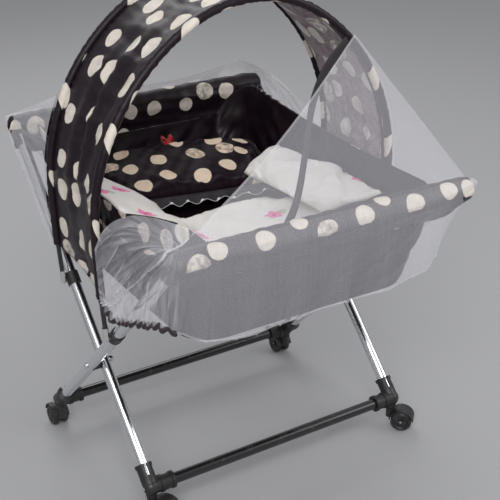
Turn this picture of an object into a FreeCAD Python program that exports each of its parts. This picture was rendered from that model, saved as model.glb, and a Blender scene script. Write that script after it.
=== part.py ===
import FreeCAD, Part
import math
import os

# A folding baby bed: two tube frames crossed like scissors on four casters, a fabric basket
# slung between their top rails, two bows carrying a hood band, and a net over each end.
# Millimetres. X runs along the floor bars, Y from the front rail to the rear rail, Z up,
# with the origin on the floor under the middle of the bed.

# Tube frames
tube_diameter = 25.0
tube_wall = 1.5
frame_width = 640.0
foot_spread = 410.0
rail_spread = 830.0
rail_rise = 615.0

# Scissor pivots
pivot_gap = 4.0
bolt_diameter = 8.0
bolt_head_diameter = 16.0
bolt_head_height = 5.0
spacer_diameter = 28.0
nut_diameter = 14.0
nut_height = 9.0
nut_skirt_height = 4.0

# Corner elbows
elbow_wall = 4.5
elbow_bar_reach = 52.0
elbow_leg_reach = 50.0
elbow_end_margin = 1.5
knuckle_lip = 1.0
collar_length = 7.0
collar_lip = 2.0
slot_width = 9.0
slot_length = 26.0
boss_diameter = 24.0
screw_diameter = 4.0
screw_head_diameter = 9.0
screw_head_height = 3.0
screw_length = 9.0
spot_face_depth = 1.5

# Casters
wheel_diameter = 50.0
wheel_width = 14.0
wheel_rim_round = 4.0
wheel_dish_depth = 3.0
wheel_dish_diameter = 36.0
wheel_cap_diameter = 14.0
caster_trail = 28.0
caster_web = 8.0
caster_web_diameter = 34.0
caster_side_gap = 1.0
hood_gap = 2.0
hood_wall = 2.5
hood_skirt_rise = 5.0
stem_diameter = 8.0
stem_seat = 12.0
stem_housing_diameter = 20.0
stem_flange_diameter = 15.0
stem_flange_thickness = 3.0
stem_end_gap = 3.0
caster_boss_length = 22.2
axle_diameter = 6.0
axle_end_recess = 1.0

# Bows and the clips that hold their feet
bow_diameter = 10.0
bow_spread = 280.0
bow_bulge = 10.0
bow_shoulder_rise = 232.0
bow_crown_rise_share = 1.1512
bow_top_radius_share = 0.8
clip_wall = 2.5
clip_length = 28.0
ferrule_diameter = 13.0
ferrule_reach = 26.0
ferrule_seat = 6.0
ferrule_clearance = 0.2
pin_diameter = 6.0
pin_bite = 4.0

# Basket and bedding
rim_pad_diameter = 50.0
rim_pad_end_diameter = 40.0
basket_wall = 4.0
basket_depth = 225.0
basket_front_drop = 15.0
basket_floor_inset = 58.0
basket_side_lean = 16.0
basket_side_margin = 10.0
basket_corner_radius = 70.0
basket_side_dip = 4.0
board_thickness = 4.0
board_margin = 9.0
mattress_thickness = 42.0
mattress_margin = 12.0
mattress_draw_in = 7.0
pillow_side_margin = 63.0
pillow_length = 210.0
pillow_thickness = 66.0
pillow_corner_radius = 42.0
pillow_draw_in = 12.0
pillow_rear_margin = 18.0
quilt_side_margin = 13.0
quilt_front_margin = 26.0
quilt_edge_thickness = 26.0
quilt_crown = 18.0
quilt_side_rise = 62.0
quilt_flank_reach = 114.0
quilt_notch_reach = 74.0

# Hood band and nets
cloth_thickness = 3.0
band_overhang = 10.0
band_foot_lift = 88.0
band_draw_in = 9.0
net_thickness = 2.0
net_drop = 185.0
net_corner_radius = 30.0
net_room = 5.0
net_pad_gap = 1.5
net_fold_depth = 9.0
net_fold_count = 12
net_peak_width = 12.0
net_corner_drop = 40.0
net_corner_run = 110.0
gather_top_rise = 60.0
gather_stand = 30.0
gather_swell = 26.0
gather_corner_drop = 124.0

# Fits and allowances
socket_clearance = 0.1
running_clearance = 0.05
swing_clearance = 0.3
cloth_clearance = 0.4
rim_clearance = 0.5
cut_overrun = 20.0

# The casters' trail directions, in degrees from +X, as they came to rest
front_left_trail_angle = -45.0
front_right_trail_angle = -45.0
rear_left_trail_angle = 90.0
rear_right_trail_angle = 90.0
half_turn = 180.0

# A domed head from its edge to its crown: radius share, height share
dome_shares = ((1.0, 0.25), (0.8, 0.75), (0.4, 1.0))
# Outline of a cushion from its base to its crown: height share, inset share
cushion_height_shares = (0.0, 0.22, 0.5, 0.76, 0.92, 1.0)
cushion_inset_shares = (0.22, 0.05, 0.0, 0.10, 0.34, 0.72)
# Stations across the quilt: place share, and how far the flank has risen there
quilt_place_shares = (-1.0, -0.78, -0.42, 0.0, 0.42, 0.78, 1.0)
quilt_rise_shares = (1.0, 0.42, 0.06, 0.0, 0.06, 0.42, 1.0)
# How far out on the bow each net's peak is held, of the bow's half width
front_net_peak_share = 0.63
rear_net_peak_share = 0.887
# How far inside its corner a rounded outline passes
corner_cut_share = 1 - math.sqrt(0.5)

# Sizes that follow from the ones above
tube_radius = tube_diameter / 2
frame_offset = (tube_diameter + pivot_gap) / 2
foot_y = foot_spread / 2
rail_y = rail_spread / 2
wheel_radius = wheel_diameter / 2
caster_width = caster_web + 2 * (caster_side_gap + wheel_width)
hood_radius = wheel_radius + hood_gap + hood_wall
fork_top = wheel_radius + hood_radius
boss_bottom = fork_top + stem_flange_thickness + swing_clearance
floor_bar_height = boss_bottom + caster_boss_length
rail_height = floor_bar_height + rail_rise
leg_run = foot_y + rail_y
pivot_height = floor_bar_height + rail_rise * foot_y / leg_run
elbow_diameter = tube_diameter + 2 * elbow_wall
elbow_radius = elbow_diameter / 2
knuckle_radius = elbow_radius + knuckle_lip
elbow_seat = tube_radius + elbow_end_margin
socket_bore = tube_diameter + 2 * socket_clearance
bow_y = bow_spread / 2
bow_foot_height = pivot_height + rail_rise * bow_y / leg_run
ferrule_radius = ferrule_diameter / 2
clip_radius = tube_radius + clip_wall
bow_foot_offset = clip_radius + swing_clearance + ferrule_radius
bow_foot_half = frame_width / 2 + bow_foot_offset
bow_half = bow_foot_half + bow_bulge
bow_shoulder_height = bow_foot_height + bow_shoulder_rise
bow_crown_rise = bow_half * bow_crown_rise_share
bow_top_radius = bow_half * bow_top_radius_share
bow_top_drop = bow_crown_rise - bow_top_radius
bow_side_radius = (bow_half**2 + bow_top_drop**2 - bow_top_radius**2) / (2 * (bow_half - bow_top_radius))
bow_turn = math.atan2(bow_top_drop, bow_side_radius - bow_half)
bow_lower_radius = (bow_shoulder_rise**2 + bow_bulge**2) / (2 * bow_bulge)
pad_radius = rim_pad_diameter / 2
basket_half_length = rail_y - pad_radius - rim_clearance
basket_half_width = frame_width / 2 - frame_offset - tube_radius - basket_side_margin
basket_top = rail_height
basket_floor = rail_height - basket_depth
bed_half_width = basket_half_width - basket_side_lean - basket_wall
bed_half_length = basket_half_length - basket_floor_inset - basket_wall
board_base = basket_floor + basket_wall + swing_clearance
mattress_base = board_base + board_thickness + swing_clearance
bedding_base = mattress_base + mattress_thickness + swing_clearance
net_half_width = frame_width / 2 + knuckle_radius + screw_head_height + net_room
net_rim_height = rail_height + pad_radius + net_pad_gap
net_end_y = rail_y + pad_radius + net_pad_gap
net_start_y = bow_y + band_overhang + cloth_clearance
net_hem_height = rail_height - net_drop

up = FreeCAD.Vector(0, 0, 1)
right = FreeCAD.Vector(1, 0, 0)
rear = FreeCAD.Vector(0, 1, 0)
origin = FreeCAD.Vector(0, 0, 0)
leg_way = FreeCAD.Vector(0, leg_run, rail_rise).normalize()
leg_outward = FreeCAD.Vector(0, -rail_rise, leg_run).normalize()

nodes = {}


def rod(start, way, diameter, length):
    return Part.makeCylinder(diameter / 2, length, start, way)


def pipe(start, way, outer, bore, length):
    hole = rod(start - way * cut_overrun, way, bore, length + 2 * cut_overrun)
    return rod(start, way, outer, length).cut(hole)


def slab(corner, along, across, through):
    outline = [corner, corner + along, corner + along + across, corner + across, corner]
    return Part.Face(Part.makePolygon(outline)).extrude(through)


def lathe(profile, start, way):
    """Turns a (radius, height) outline round an axis that starts at start and points along way."""
    outline = [FreeCAD.Vector(radius, 0, height) for radius, height in profile]
    face = Part.Face(Part.makePolygon(outline + outline[:1]))
    solid = face.revolve(origin, up, 2 * half_turn)
    solid.Placement = FreeCAD.Placement(start, FreeCAD.Rotation(up, way))
    return solid


def opposite(shape):
    """The same piece on the other frame, half a turn round the upright axis."""
    turned = shape.copy()
    turned.rotate(origin, up, half_turn)
    return turned


def arc(start, middle, end):
    return Part.Arc(start, middle, end).toShape()


def line(start, end):
    return Part.LineSegment(start, end).toShape()


# Frame A carries the front floor bar and the rear rail. Frame B is the same frame half a turn
# round, so each piece of A is made once and turned for B.
def leg(side):
    foot = FreeCAD.Vector(frame_offset + side * frame_width / 2, -foot_y, floor_bar_height)
    length = math.hypot(leg_run, rail_rise) - 2 * elbow_seat
    solid = pipe(foot + leg_way * elbow_seat, leg_way, tube_diameter, tube_diameter - 2 * tube_wall, length)
    across = right * side
    through = FreeCAD.Vector(foot.x, 0, pivot_height) - across * tube_diameter
    solid = solid.cut(rod(through, across, bolt_diameter + 2 * running_clearance, 2 * tube_diameter))
    seat = FreeCAD.Vector(foot.x, bow_y, bow_foot_height)
    return solid.cut(rod(seat, across, pin_diameter + 2 * running_clearance, tube_diameter))


def cross_tube(y, z):
    start = FreeCAD.Vector(frame_offset - frame_width / 2 + elbow_seat, y, z)
    bore = tube_diameter - 2 * tube_wall
    return pipe(start, right, tube_diameter, bore, frame_width - 2 * elbow_seat)


def elbow(side, y, z, leg_side, stem):
    """Moulded corner: a socket for the cross tube, a slotted socket for the leg, a boss for the caster."""
    corner = FreeCAD.Vector(frame_offset + side * frame_width / 2, y, z)
    inward = right * -side
    outward = right * side
    solid = rod(corner, inward, elbow_diameter, elbow_bar_reach)
    collar = elbow_diameter + 2 * collar_lip
    parts = [
        rod(corner, leg_side, elbow_diameter, elbow_leg_reach),
        Part.makeSphere(knuckle_radius, corner),
        rod(corner + inward * (elbow_bar_reach - collar_length), inward, collar, collar_length),
        rod(corner + inward * (elbow_radius + collar_lip), inward, collar, collar_length),
        rod(corner + leg_side * (elbow_leg_reach - collar_length), leg_side, collar, collar_length),
    ]
    if stem:
        parts.append(rod(corner, -up, boss_diameter, z - boss_bottom))
    solid = solid.fuse(parts).removeSplitter()
    slot_start = corner + leg_side * (elbow_leg_reach - slot_length) - right * slot_width / 2
    slot_run = leg_side * (slot_length + cut_overrun)
    flat = corner + outward * (knuckle_radius - spot_face_depth)
    cuts = [
        rod(corner + inward * elbow_seat, inward, socket_bore, elbow_bar_reach),
        rod(corner + leg_side * elbow_seat, leg_side, socket_bore, elbow_leg_reach),
        slab(slot_start, slot_run, right * slot_width, leg_outward * elbow_diameter),
        rod(flat, outward, screw_head_diameter + 2 * socket_clearance, cut_overrun),
        rod(flat, inward, screw_diameter + 2 * socket_clearance, screw_length + socket_clearance),
    ]
    if stem:
        top = z - stem_end_gap + running_clearance
        bore = stem_diameter + 2 * running_clearance
        cuts.append(rod(FreeCAD.Vector(corner.x, y, 0), up, bore, top))
    for tool in cuts:
        solid = solid.cut(tool)
    return solid


def elbow_screw(side, y, z):
    corner = FreeCAD.Vector(frame_offset + side * frame_width / 2, y, z)
    outward = right * side
    head = screw_head_diameter / 2
    shank = screw_diameter / 2
    profile = [
        (0, -screw_length),
        (shank, -screw_length),
        (shank, 0),
        (head, 0),
        (head, screw_head_height / 2),
        (shank, screw_head_height),
        (0, screw_head_height),
    ]
    return lathe(profile, corner + outward * (knuckle_radius - spot_face_depth), outward)


def clip(side):
    """Plastic ring on the leg that takes the pin of a bow's foot."""
    seat = FreeCAD.Vector(frame_offset + side * frame_width / 2, bow_y, bow_foot_height)
    solid = pipe(seat - leg_way * clip_length / 2, leg_way, 2 * clip_radius, socket_bore, clip_length)
    return solid.cut(rod(seat, right * side, pin_diameter + 2 * running_clearance, 2 * clip_radius))


leg_left = leg(-1)
leg_right = leg(1)
nodes["leg_a_left"] = leg_left
nodes["leg_a_right"] = leg_right
nodes["leg_b_right"] = opposite(leg_left)
nodes["leg_b_left"] = opposite(leg_right)

floor_bar = cross_tube(-foot_y, floor_bar_height)
top_rail = cross_tube(rail_y, rail_height)
nodes["front_floor_bar"] = floor_bar
nodes["rear_floor_bar"] = opposite(floor_bar)
nodes["rear_top_rail"] = top_rail
nodes["front_top_rail"] = opposite(top_rail)

for side, here, across in ((-1, "left", "right"), (1, "right", "left")):
    foot_elbow = elbow(side, -foot_y, floor_bar_height, leg_way, True)
    top_elbow = elbow(side, rail_y, rail_height, -leg_way, False)
    nodes["foot_elbow_front_" + here] = foot_elbow
    nodes["foot_elbow_rear_" + across] = opposite(foot_elbow)
    nodes["top_elbow_rear_" + here] = top_elbow
    nodes["top_elbow_front_" + across] = opposite(top_elbow)

screws = [elbow_screw(side, -foot_y, floor_bar_height) for side in (-1, 1)]
screws += [elbow_screw(side, rail_y, rail_height) for side in (-1, 1)]
nodes["elbow_screws_a"] = Part.makeCompound(screws)
nodes["elbow_screws_b"] = opposite(nodes["elbow_screws_a"])

nodes["bow_clips_a"] = Part.makeCompound([clip(-1), clip(1)])
nodes["bow_clips_b"] = opposite(nodes["bow_clips_a"])


# Scissor pivots: a dome-headed bolt through both legs, a cap nut inside, a washer block between.
def pivot_bolt():
    outer_face = frame_width / 2 + frame_offset + tube_radius + swing_clearance
    inner_face = frame_width / 2 - frame_offset - tube_radius - swing_clearance
    head = bolt_head_diameter / 2
    shank = bolt_diameter / 2
    shank_length = outer_face - inner_face + nut_height - nut_skirt_height
    profile = [(0, -shank_length), (shank, -shank_length), (shank, 0), (head, 0)]
    profile += [(head * across, bolt_head_height * rise) for across, rise in dome_shares]
    profile.append((0, bolt_head_height))
    return lathe(profile, FreeCAD.Vector(outer_face, 0, pivot_height), right)


def pivot_nut():
    face = frame_width / 2 - frame_offset - tube_radius - swing_clearance
    bore = bolt_diameter / 2 + socket_clearance
    radius = nut_diameter / 2
    blind = nut_height - nut_skirt_height + socket_clearance
    dome = nut_height - nut_skirt_height
    profile = [(bore, 0), (radius, 0), (radius, nut_skirt_height)]
    profile += [(radius * across, nut_skirt_height + dome * rise) for across, rise in dome_shares]
    profile += [(0, nut_height), (0, blind), (bore, blind)]
    return lathe(profile, FreeCAD.Vector(face, 0, pivot_height), -right)


def pivot_spacer():
    """Sits in a hollow on the outer leg and faces the inner leg flat, with room to turn."""
    flat = frame_width / 2 - frame_offset + tube_radius + swing_clearance
    start = FreeCAD.Vector(flat, 0, pivot_height)
    length = frame_width / 2 + frame_offset - flat
    solid = pipe(start, right, spacer_diameter, bolt_diameter + 2 * socket_clearance, length)
    outer_leg = FreeCAD.Vector(frame_width / 2 + frame_offset, 0, pivot_height) - leg_way * spacer_diameter
    return solid.cut(rod(outer_leg, leg_way, socket_bore, 2 * spacer_diameter))


def pair(shape):
    return Part.makeCompound([shape, opposite(shape)])


nodes["pivot_bolts"] = pair(pivot_bolt())
nodes["pivot_nuts"] = pair(pivot_nut())
nodes["pivot_spacer_right"] = pivot_spacer()
nodes["pivot_spacer_left"] = opposite(nodes["pivot_spacer_right"])


# Casters: made with the stem on the Z axis and the wheels trailing towards +X, then set under an elbow.
def caster_pieces():
    hub = FreeCAD.Vector(caster_trail, 0, wheel_radius)
    half = caster_width / 2
    drum = rod(hub - rear * half, rear, 2 * hood_radius, caster_width)
    below = FreeCAD.Vector(-wheel_diameter, -wheel_diameter, -wheel_diameter)
    skirt_height = wheel_radius + hood_skirt_rise
    long_side = 2 * wheel_diameter + caster_trail
    cut_height = up * (skirt_height + wheel_diameter)
    drum = drum.cut(slab(below, right * long_side, rear * 2 * wheel_diameter, cut_height))
    housing = rod(up * skirt_height, up, stem_housing_diameter, fork_top - skirt_height)
    fork = drum.fuse(housing)
    well = 2 * (wheel_radius + hood_gap)
    for side in (-1, 1):
        fork = fork.cut(rod(hub + rear * side * caster_web / 2, rear * side, well, caster_width))
    web = rod(hub - rear * caster_web / 2, rear, caster_web_diameter, caster_web)
    fork = fork.fuse(web).removeSplitter()
    stem_base = fork_top - stem_seat
    fork = fork.cut(rod(up * stem_base, up, stem_diameter + 2 * socket_clearance, stem_seat + cut_overrun))
    fork = fork.cut(rod(hub - rear * half, rear, axle_diameter + 2 * socket_clearance, caster_width))

    stem_top = floor_bar_height - stem_end_gap
    stem_start = stem_base + socket_clearance
    stem = rod(up * stem_start, up, stem_diameter, stem_top - stem_start)
    stem = stem.fuse(rod(up * fork_top, up, stem_flange_diameter, stem_flange_thickness)).removeSplitter()

    axle_length = caster_width - 2 * axle_end_recess
    axle = rod(hub - rear * axle_length / 2, rear, axle_diameter, axle_length)

    bore = axle_diameter / 2 + running_clearance
    rim = wheel_radius - wheel_rim_round
    dish = wheel_dish_diameter / 2
    cap = wheel_cap_diameter / 2
    floor_depth = wheel_width - wheel_dish_depth
    profile = [
        (bore, 0),
        (rim, 0),
        (wheel_radius, wheel_rim_round),
        (wheel_radius, wheel_width - wheel_rim_round),
        (rim, wheel_width),
        (dish, wheel_width),
        (dish - wheel_dish_depth, floor_depth),
        (cap, floor_depth),
        (cap, wheel_width),
        (bore, wheel_width),
    ]
    near = caster_web / 2 + caster_side_gap
    wheels = [lathe(profile, hub + rear * side * near, rear * side) for side in (-1, 1)]
    return {"fork": fork, "stem": stem, "axle": axle, "wheels": Part.makeCompound(wheels)}


caster_places = {
    "front_left": (frame_offset - frame_width / 2, -foot_y, front_left_trail_angle),
    "front_right": (frame_offset + frame_width / 2, -foot_y, front_right_trail_angle),
    "rear_left": (-frame_offset - frame_width / 2, foot_y, rear_left_trail_angle),
    "rear_right": (-frame_offset + frame_width / 2, foot_y, rear_right_trail_angle),
}
caster = caster_pieces()
for place, (x, y, angle) in caster_places.items():
    for piece, shape in caster.items():
        set_down = shape.copy()
        set_down.Placement = FreeCAD.Placement(FreeCAD.Vector(x, y, 0), FreeCAD.Rotation(up, angle))
        nodes["caster_" + piece + "_" + place] = set_down


# Bows: a rod bent to one outline, from the left foot over the crown to the right foot.
def bow_lower(offset, z):
    reach = bow_lower_radius + offset
    return bow_half - bow_lower_radius + math.sqrt(reach**2 - (bow_shoulder_height - z) ** 2), z


def bow_side(offset, angle):
    reach = bow_side_radius + offset
    x = bow_half - bow_side_radius + reach * math.cos(angle)
    return x, bow_shoulder_height + reach * math.sin(angle)


def bow_points(offset, bottom, angles):
    """Points of half the outline, moved out by offset: the leg from bottom, then the side arc by angles."""
    points = [bow_lower(offset, bottom), bow_lower(offset, (bottom + bow_shoulder_height) / 2)]
    points.append(bow_side(offset, 0))
    start = 0
    for angle in angles:
        points += [bow_side(offset, (start + angle) / 2), bow_side(offset, angle)]
        start = angle
    return points


def bow_edges(centre, y, offset, bottom):
    points = bow_points(offset, bottom, [bow_turn])
    right_side = [FreeCAD.Vector(centre + x, y, z) for x, z in points]
    left_side = [FreeCAD.Vector(centre - x, y, z) for x, z in points]
    crown = FreeCAD.Vector(centre, y, bow_shoulder_height + bow_crown_rise + offset)
    foot, low, shoulder, high, turn = left_side
    edges = [arc(foot, low, shoulder), arc(shoulder, high, turn)]
    foot, low, shoulder, high, far_turn = right_side
    edges.append(arc(turn, crown, far_turn))
    return edges + [arc(far_turn, high, shoulder), arc(shoulder, low, foot)]


def bow_foot(side):
    foot = FreeCAD.Vector(frame_offset + side * bow_foot_half, bow_y, bow_foot_height)
    lean = math.asin(bow_shoulder_rise / bow_lower_radius)
    return foot, FreeCAD.Vector(side * math.sin(lean), 0, math.cos(lean))


def bow_rod():
    start_height = bow_foot_height + ferrule_seat
    path = Part.Wire(bow_edges(frame_offset, bow_y, 0, start_height))
    start = path.OrderedVertexes[0].Point
    way = bow_foot(-1)[1]
    section = Part.Wire(Part.makeCircle(bow_diameter / 2, start, way))
    return path.makePipeShell([section], True, False)


def bow_ferrule(side):
    """End fitting of a bow: a socket for the rod and a pin into the clip and the leg."""
    foot, way = bow_foot(side)
    inward = right * -side
    pin_length = bow_foot_offset - tube_radius + tube_wall + pin_bite
    socket = rod(foot, way, ferrule_diameter, ferrule_reach)
    pin = rod(foot, inward, pin_diameter, pin_length)
    solid = Part.makeSphere(ferrule_radius, foot).fuse([socket, pin])
    seat = ferrule_seat - running_clearance
    bore = bow_diameter + 2 * ferrule_clearance
    return solid.removeSplitter().cut(rod(foot + way * seat, way, bore, ferrule_reach))


nodes["rear_bow"] = bow_rod()
nodes["front_bow"] = opposite(nodes["rear_bow"])
nodes["rear_bow_ferrules"] = Part.makeCompound([bow_ferrule(-1), bow_ferrule(1)])
nodes["front_bow_ferrules"] = opposite(nodes["rear_bow_ferrules"])


# Rim pads: padded sleeves round the top rails, full in the middle and drawn in at the elbows.
def rim_pad():
    start = frame_offset - frame_width / 2 + elbow_bar_reach + rim_clearance
    end = frame_offset + frame_width / 2 - elbow_bar_reach - rim_clearance
    bore = tube_radius + swing_clearance
    corners = [
        FreeCAD.Vector(start, rail_y, rail_height + bore),
        FreeCAD.Vector(start, rail_y, rail_height + rim_pad_end_diameter / 2),
        FreeCAD.Vector(end, rail_y, rail_height + rim_pad_end_diameter / 2),
        FreeCAD.Vector(end, rail_y, rail_height + bore),
    ]
    middle = FreeCAD.Vector(frame_offset, rail_y, rail_height + pad_radius)
    outline = [
        line(corners[0], corners[1]),
        arc(corners[1], middle, corners[2]),
        line(corners[2], corners[3]),
        line(corners[3], corners[0]),
    ]
    face = Part.Face(Part.Wire(outline))
    return face.revolve(FreeCAD.Vector(0, rail_y, rail_height), right, 2 * half_turn)


nodes["rear_rim_pad"] = rim_pad()
nodes["front_rim_pad"] = opposite(nodes["rear_rim_pad"])


# Basket and bedding: outlines with rounded corners, stacked and lofted.
def cushion_outline(half_x, half_y, radius, draw_in, z):
    """Four corner arcs joined by sides that bow inward by draw_in."""
    turn = radius * corner_cut_share
    edges = []
    starts = []
    for sign_x, sign_y in ((1, 1), (-1, 1), (-1, -1), (1, -1)):
        along_y = FreeCAD.Vector(sign_x * half_x, sign_y * (half_y - radius), z)
        along_x = FreeCAD.Vector(sign_x * (half_x - radius), sign_y * half_y, z)
        middle = FreeCAD.Vector(sign_x * (half_x - turn), sign_y * (half_y - turn), z)
        first, last = (along_y, along_x) if sign_x == sign_y else (along_x, along_y)
        starts.append((first, middle, last))
    sides = [
        FreeCAD.Vector(0, half_y - draw_in, z),
        FreeCAD.Vector(draw_in - half_x, 0, z),
        FreeCAD.Vector(0, draw_in - half_y, z),
        FreeCAD.Vector(half_x - draw_in, 0, z),
    ]
    for index, (first, middle, last) in enumerate(starts):
        following = starts[(index + 1) % len(starts)][0]
        edges.append(arc(first, middle, last))
        edges.append(arc(last, sides[index], following) if draw_in else line(last, following))
    return Part.Wire(edges)


def cushion(half_x, half_y, radius, draw_in, base, thickness):
    outlines = []
    for height_share, inset_share in zip(cushion_height_shares, cushion_inset_shares):
        inset = inset_share * thickness
        corner = radius * (half_y - inset) / half_y
        pull = draw_in * (1 - inset_share)
        z = base + thickness * height_share
        outlines.append(cushion_outline(half_x - inset, half_y - inset, corner, pull, z))
    return Part.makeLoft(outlines, True, False)


def basket():
    floor_half_width = basket_half_width - basket_side_lean
    floor_half_length = basket_half_length - basket_floor_inset
    floor_radius = basket_corner_radius - basket_side_lean
    outer = [
        cushion_outline(floor_half_width, floor_half_length, floor_radius, 0, basket_floor),
        cushion_outline(basket_half_width, basket_half_length, basket_corner_radius, 0, basket_top),
    ]
    rise = basket_top - basket_floor
    above = cut_overrun / rise
    inner_x = floor_half_width - basket_wall
    inner_y = floor_half_length - basket_wall
    inner = [cushion_outline(inner_x, inner_y, floor_radius - basket_wall, 0, basket_floor + basket_wall)]
    top_x = basket_half_width - basket_wall + basket_side_lean * above
    top_y = basket_half_length - basket_wall + basket_floor_inset * above
    top_radius = basket_corner_radius - basket_wall
    inner.append(cushion_outline(top_x, top_y, top_radius, 0, basket_top + cut_overrun))
    solid = Part.makeLoft(outer, True, True).cut(Part.makeLoft(inner, True, True))
    # The elastic top edge of the two side walls climbs from the front wall to the rear wall.
    span = basket_half_length - basket_corner_radius
    front_top = basket_top - basket_front_drop
    middle_top = (front_top + basket_top) / 2 - basket_side_dip
    edge = arc(
        FreeCAD.Vector(-frame_width, -span, front_top),
        FreeCAD.Vector(-frame_width, 0, middle_top),
        FreeCAD.Vector(-frame_width, span, basket_top),
    )
    lid = [
        FreeCAD.Vector(-frame_width, span, basket_top),
        FreeCAD.Vector(-frame_width, span, basket_top + cut_overrun),
        FreeCAD.Vector(-frame_width, -rail_y, basket_top + cut_overrun),
        FreeCAD.Vector(-frame_width, -rail_y, front_top),
        FreeCAD.Vector(-frame_width, -span, front_top),
    ]
    outline = Part.Wire([edge] + [line(lid[i], lid[i + 1]) for i in range(len(lid) - 1)])
    return solid.cut(Part.Face(outline).extrude(right * 2 * frame_width))


def quilt():
    """Lies over the front half of the mattress, climbs both side walls, and opens in a V at the back."""
    sections = []
    front = -bed_half_length + quilt_front_margin
    for place, rise in zip(quilt_place_shares, quilt_rise_shares):
        x = place * (bed_half_width - quilt_side_margin)
        back = quilt_flank_reach - quilt_notch_reach * (1 - abs(place))
        z = bedding_base + quilt_side_rise * rise
        edge = z + quilt_edge_thickness
        middle = FreeCAD.Vector(x, (front + back) / 2, edge + quilt_crown)
        corners = [
            FreeCAD.Vector(x, front, z),
            FreeCAD.Vector(x, back, z),
            FreeCAD.Vector(x, back, edge),
            FreeCAD.Vector(x, front, edge),
        ]
        edges = [line(corners[0], corners[1]), line(corners[1], corners[2])]
        edges += [arc(corners[2], middle, corners[3]), line(corners[3], corners[0])]
        sections.append(Part.Wire(edges))
    return Part.makeLoft(sections, True, False)


nodes["basket"] = basket()
board_outline = cushion_outline(
    bed_half_width - board_margin,
    bed_half_length - board_margin,
    basket_corner_radius - basket_side_lean - basket_wall - board_margin,
    0,
    board_base,
)
nodes["base_board"] = Part.Face(board_outline).extrude(up * board_thickness)
nodes["mattress"] = cushion(
    bed_half_width - mattress_margin,
    bed_half_length - mattress_margin,
    basket_corner_radius - basket_side_lean - basket_wall,
    mattress_draw_in,
    mattress_base,
    mattress_thickness,
)
pillow = cushion(
    bed_half_width - pillow_side_margin,
    pillow_length / 2,
    pillow_corner_radius,
    pillow_draw_in,
    bedding_base,
    pillow_thickness,
)
pillow.translate(rear * (bed_half_length - pillow_rear_margin - pillow_length / 2))
nodes["pillow"] = pillow
nodes["quilt"] = quilt()


# Hood band: one strip of cloth over both bows, drawn in a little between them.
def strip_outline(outer, inner):
    first = line(inner[0].Vertexes[0].Point, outer[0].Vertexes[0].Point)
    last = line(outer[-1].Vertexes[1].Point, inner[-1].Vertexes[1].Point)
    return Part.Wire([first] + outer + [last] + inner[::-1])


def hood_band():
    bottom = bow_foot_height + band_foot_lift
    clear = bow_diameter / 2 + cloth_clearance
    reach = bow_y + band_overhang
    sections = []
    for y in (-reach, -bow_y, 0, bow_y, reach):
        lift = clear if y else clear - band_draw_in
        centre = frame_offset * y / bow_y
        outer = bow_edges(centre, y, lift + cloth_thickness, bottom)
        inner = bow_edges(centre, y, lift, bottom)
        sections.append(strip_outline(outer, inner))
    return Part.makeLoft(sections, True, True)


# Nets: each is drawn from a peak on its bow straight to the end rail, and from one leg of the bow to the
# near corner. The other corner is let go and hangs gathered, and a skirt with folds hangs over the rail.
def net_bow_edges(side, offset, angles):
    """Along one leg of the bow from the hem to the shoulder, then up its side arc by angles."""
    places = bow_points(offset, net_hem_height, angles)
    points = [FreeCAD.Vector(frame_offset + side * x, net_start_y, z) for x, z in places]
    return [arc(*points[index : index + 3]) for index in range(0, len(points) - 2, 2)]


def net_rim_edges(side, offset):
    """Over the end rail from the hem: up one side, round the corner and along the top."""
    reach = net_half_width + offset
    top = net_rim_height + offset
    radius = net_corner_radius + offset
    turn = radius * corner_cut_share
    places = [(reach, net_hem_height), (reach, top - radius)]
    places += [(reach - turn, top - turn), (reach - radius, top)]
    points = [FreeCAD.Vector(frame_offset + side * x, net_end_y, z) for x, z in places]
    far_end = FreeCAD.Vector(frame_offset - side * (reach - radius), net_end_y, top)
    return [line(points[0], points[1]), arc(*points[1:]), line(points[3], far_end)]


def gather_edges(offset):
    """The slack middle of the gathered corner, which swells outward and stands above the rail."""
    y = (net_start_y + net_end_y) / 2
    side = frame_offset + net_half_width + offset
    top = net_rim_height + gather_stand + offset
    radius = net_corner_radius + offset
    turn = radius * corner_cut_share
    foot = FreeCAD.Vector(side, y, net_hem_height)
    belly = FreeCAD.Vector(side + gather_swell, y, (net_hem_height + top - radius) / 2)
    neck = FreeCAD.Vector(side, y, top - radius)
    corner = FreeCAD.Vector(side - turn, y, top - turn)
    end = FreeCAD.Vector(side - radius, y, top)
    return [arc(foot, belly, neck), arc(neck, corner, end)]


def fold_edges(y, z, depth):
    """A line across the skirt in net_fold_count waves of the given depth, flat at both ends."""
    half = net_half_width + net_thickness
    step = 2 * half / net_fold_count
    edges = []
    for index in range(net_fold_count):
        start = FreeCAD.Vector(frame_offset - half + index * step, y, z)
        end = start + right * step
        swing = depth if index % 2 else -depth
        middle = (start + end) / 2 + rear * swing
        waved = depth and 0 < index < net_fold_count - 1
        edges.append(arc(start, middle, end) if waved else line(start, end))
    return edges


def drawn_corner(side, rail_drop):
    """What the elastic hem draws up at a lower corner: all below a slant from rail to bow foot."""
    outer = frame_offset + side * (net_half_width + 2 * net_thickness)
    high = FreeCAD.Vector(outer, net_end_y + net_thickness, net_rim_height - rail_drop)
    foot = FreeCAD.Vector(high.x, net_start_y, net_hem_height)
    along_hem = FreeCAD.Vector(high.x - side * net_corner_run, high.y, net_hem_height)
    to_foot = foot - high
    to_hem = along_hem - high
    outward = to_foot.cross(to_hem).normalize() * side
    return slab(high - to_foot - to_hem, to_foot * 3, to_hem * 3, outward * net_drop)


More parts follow.
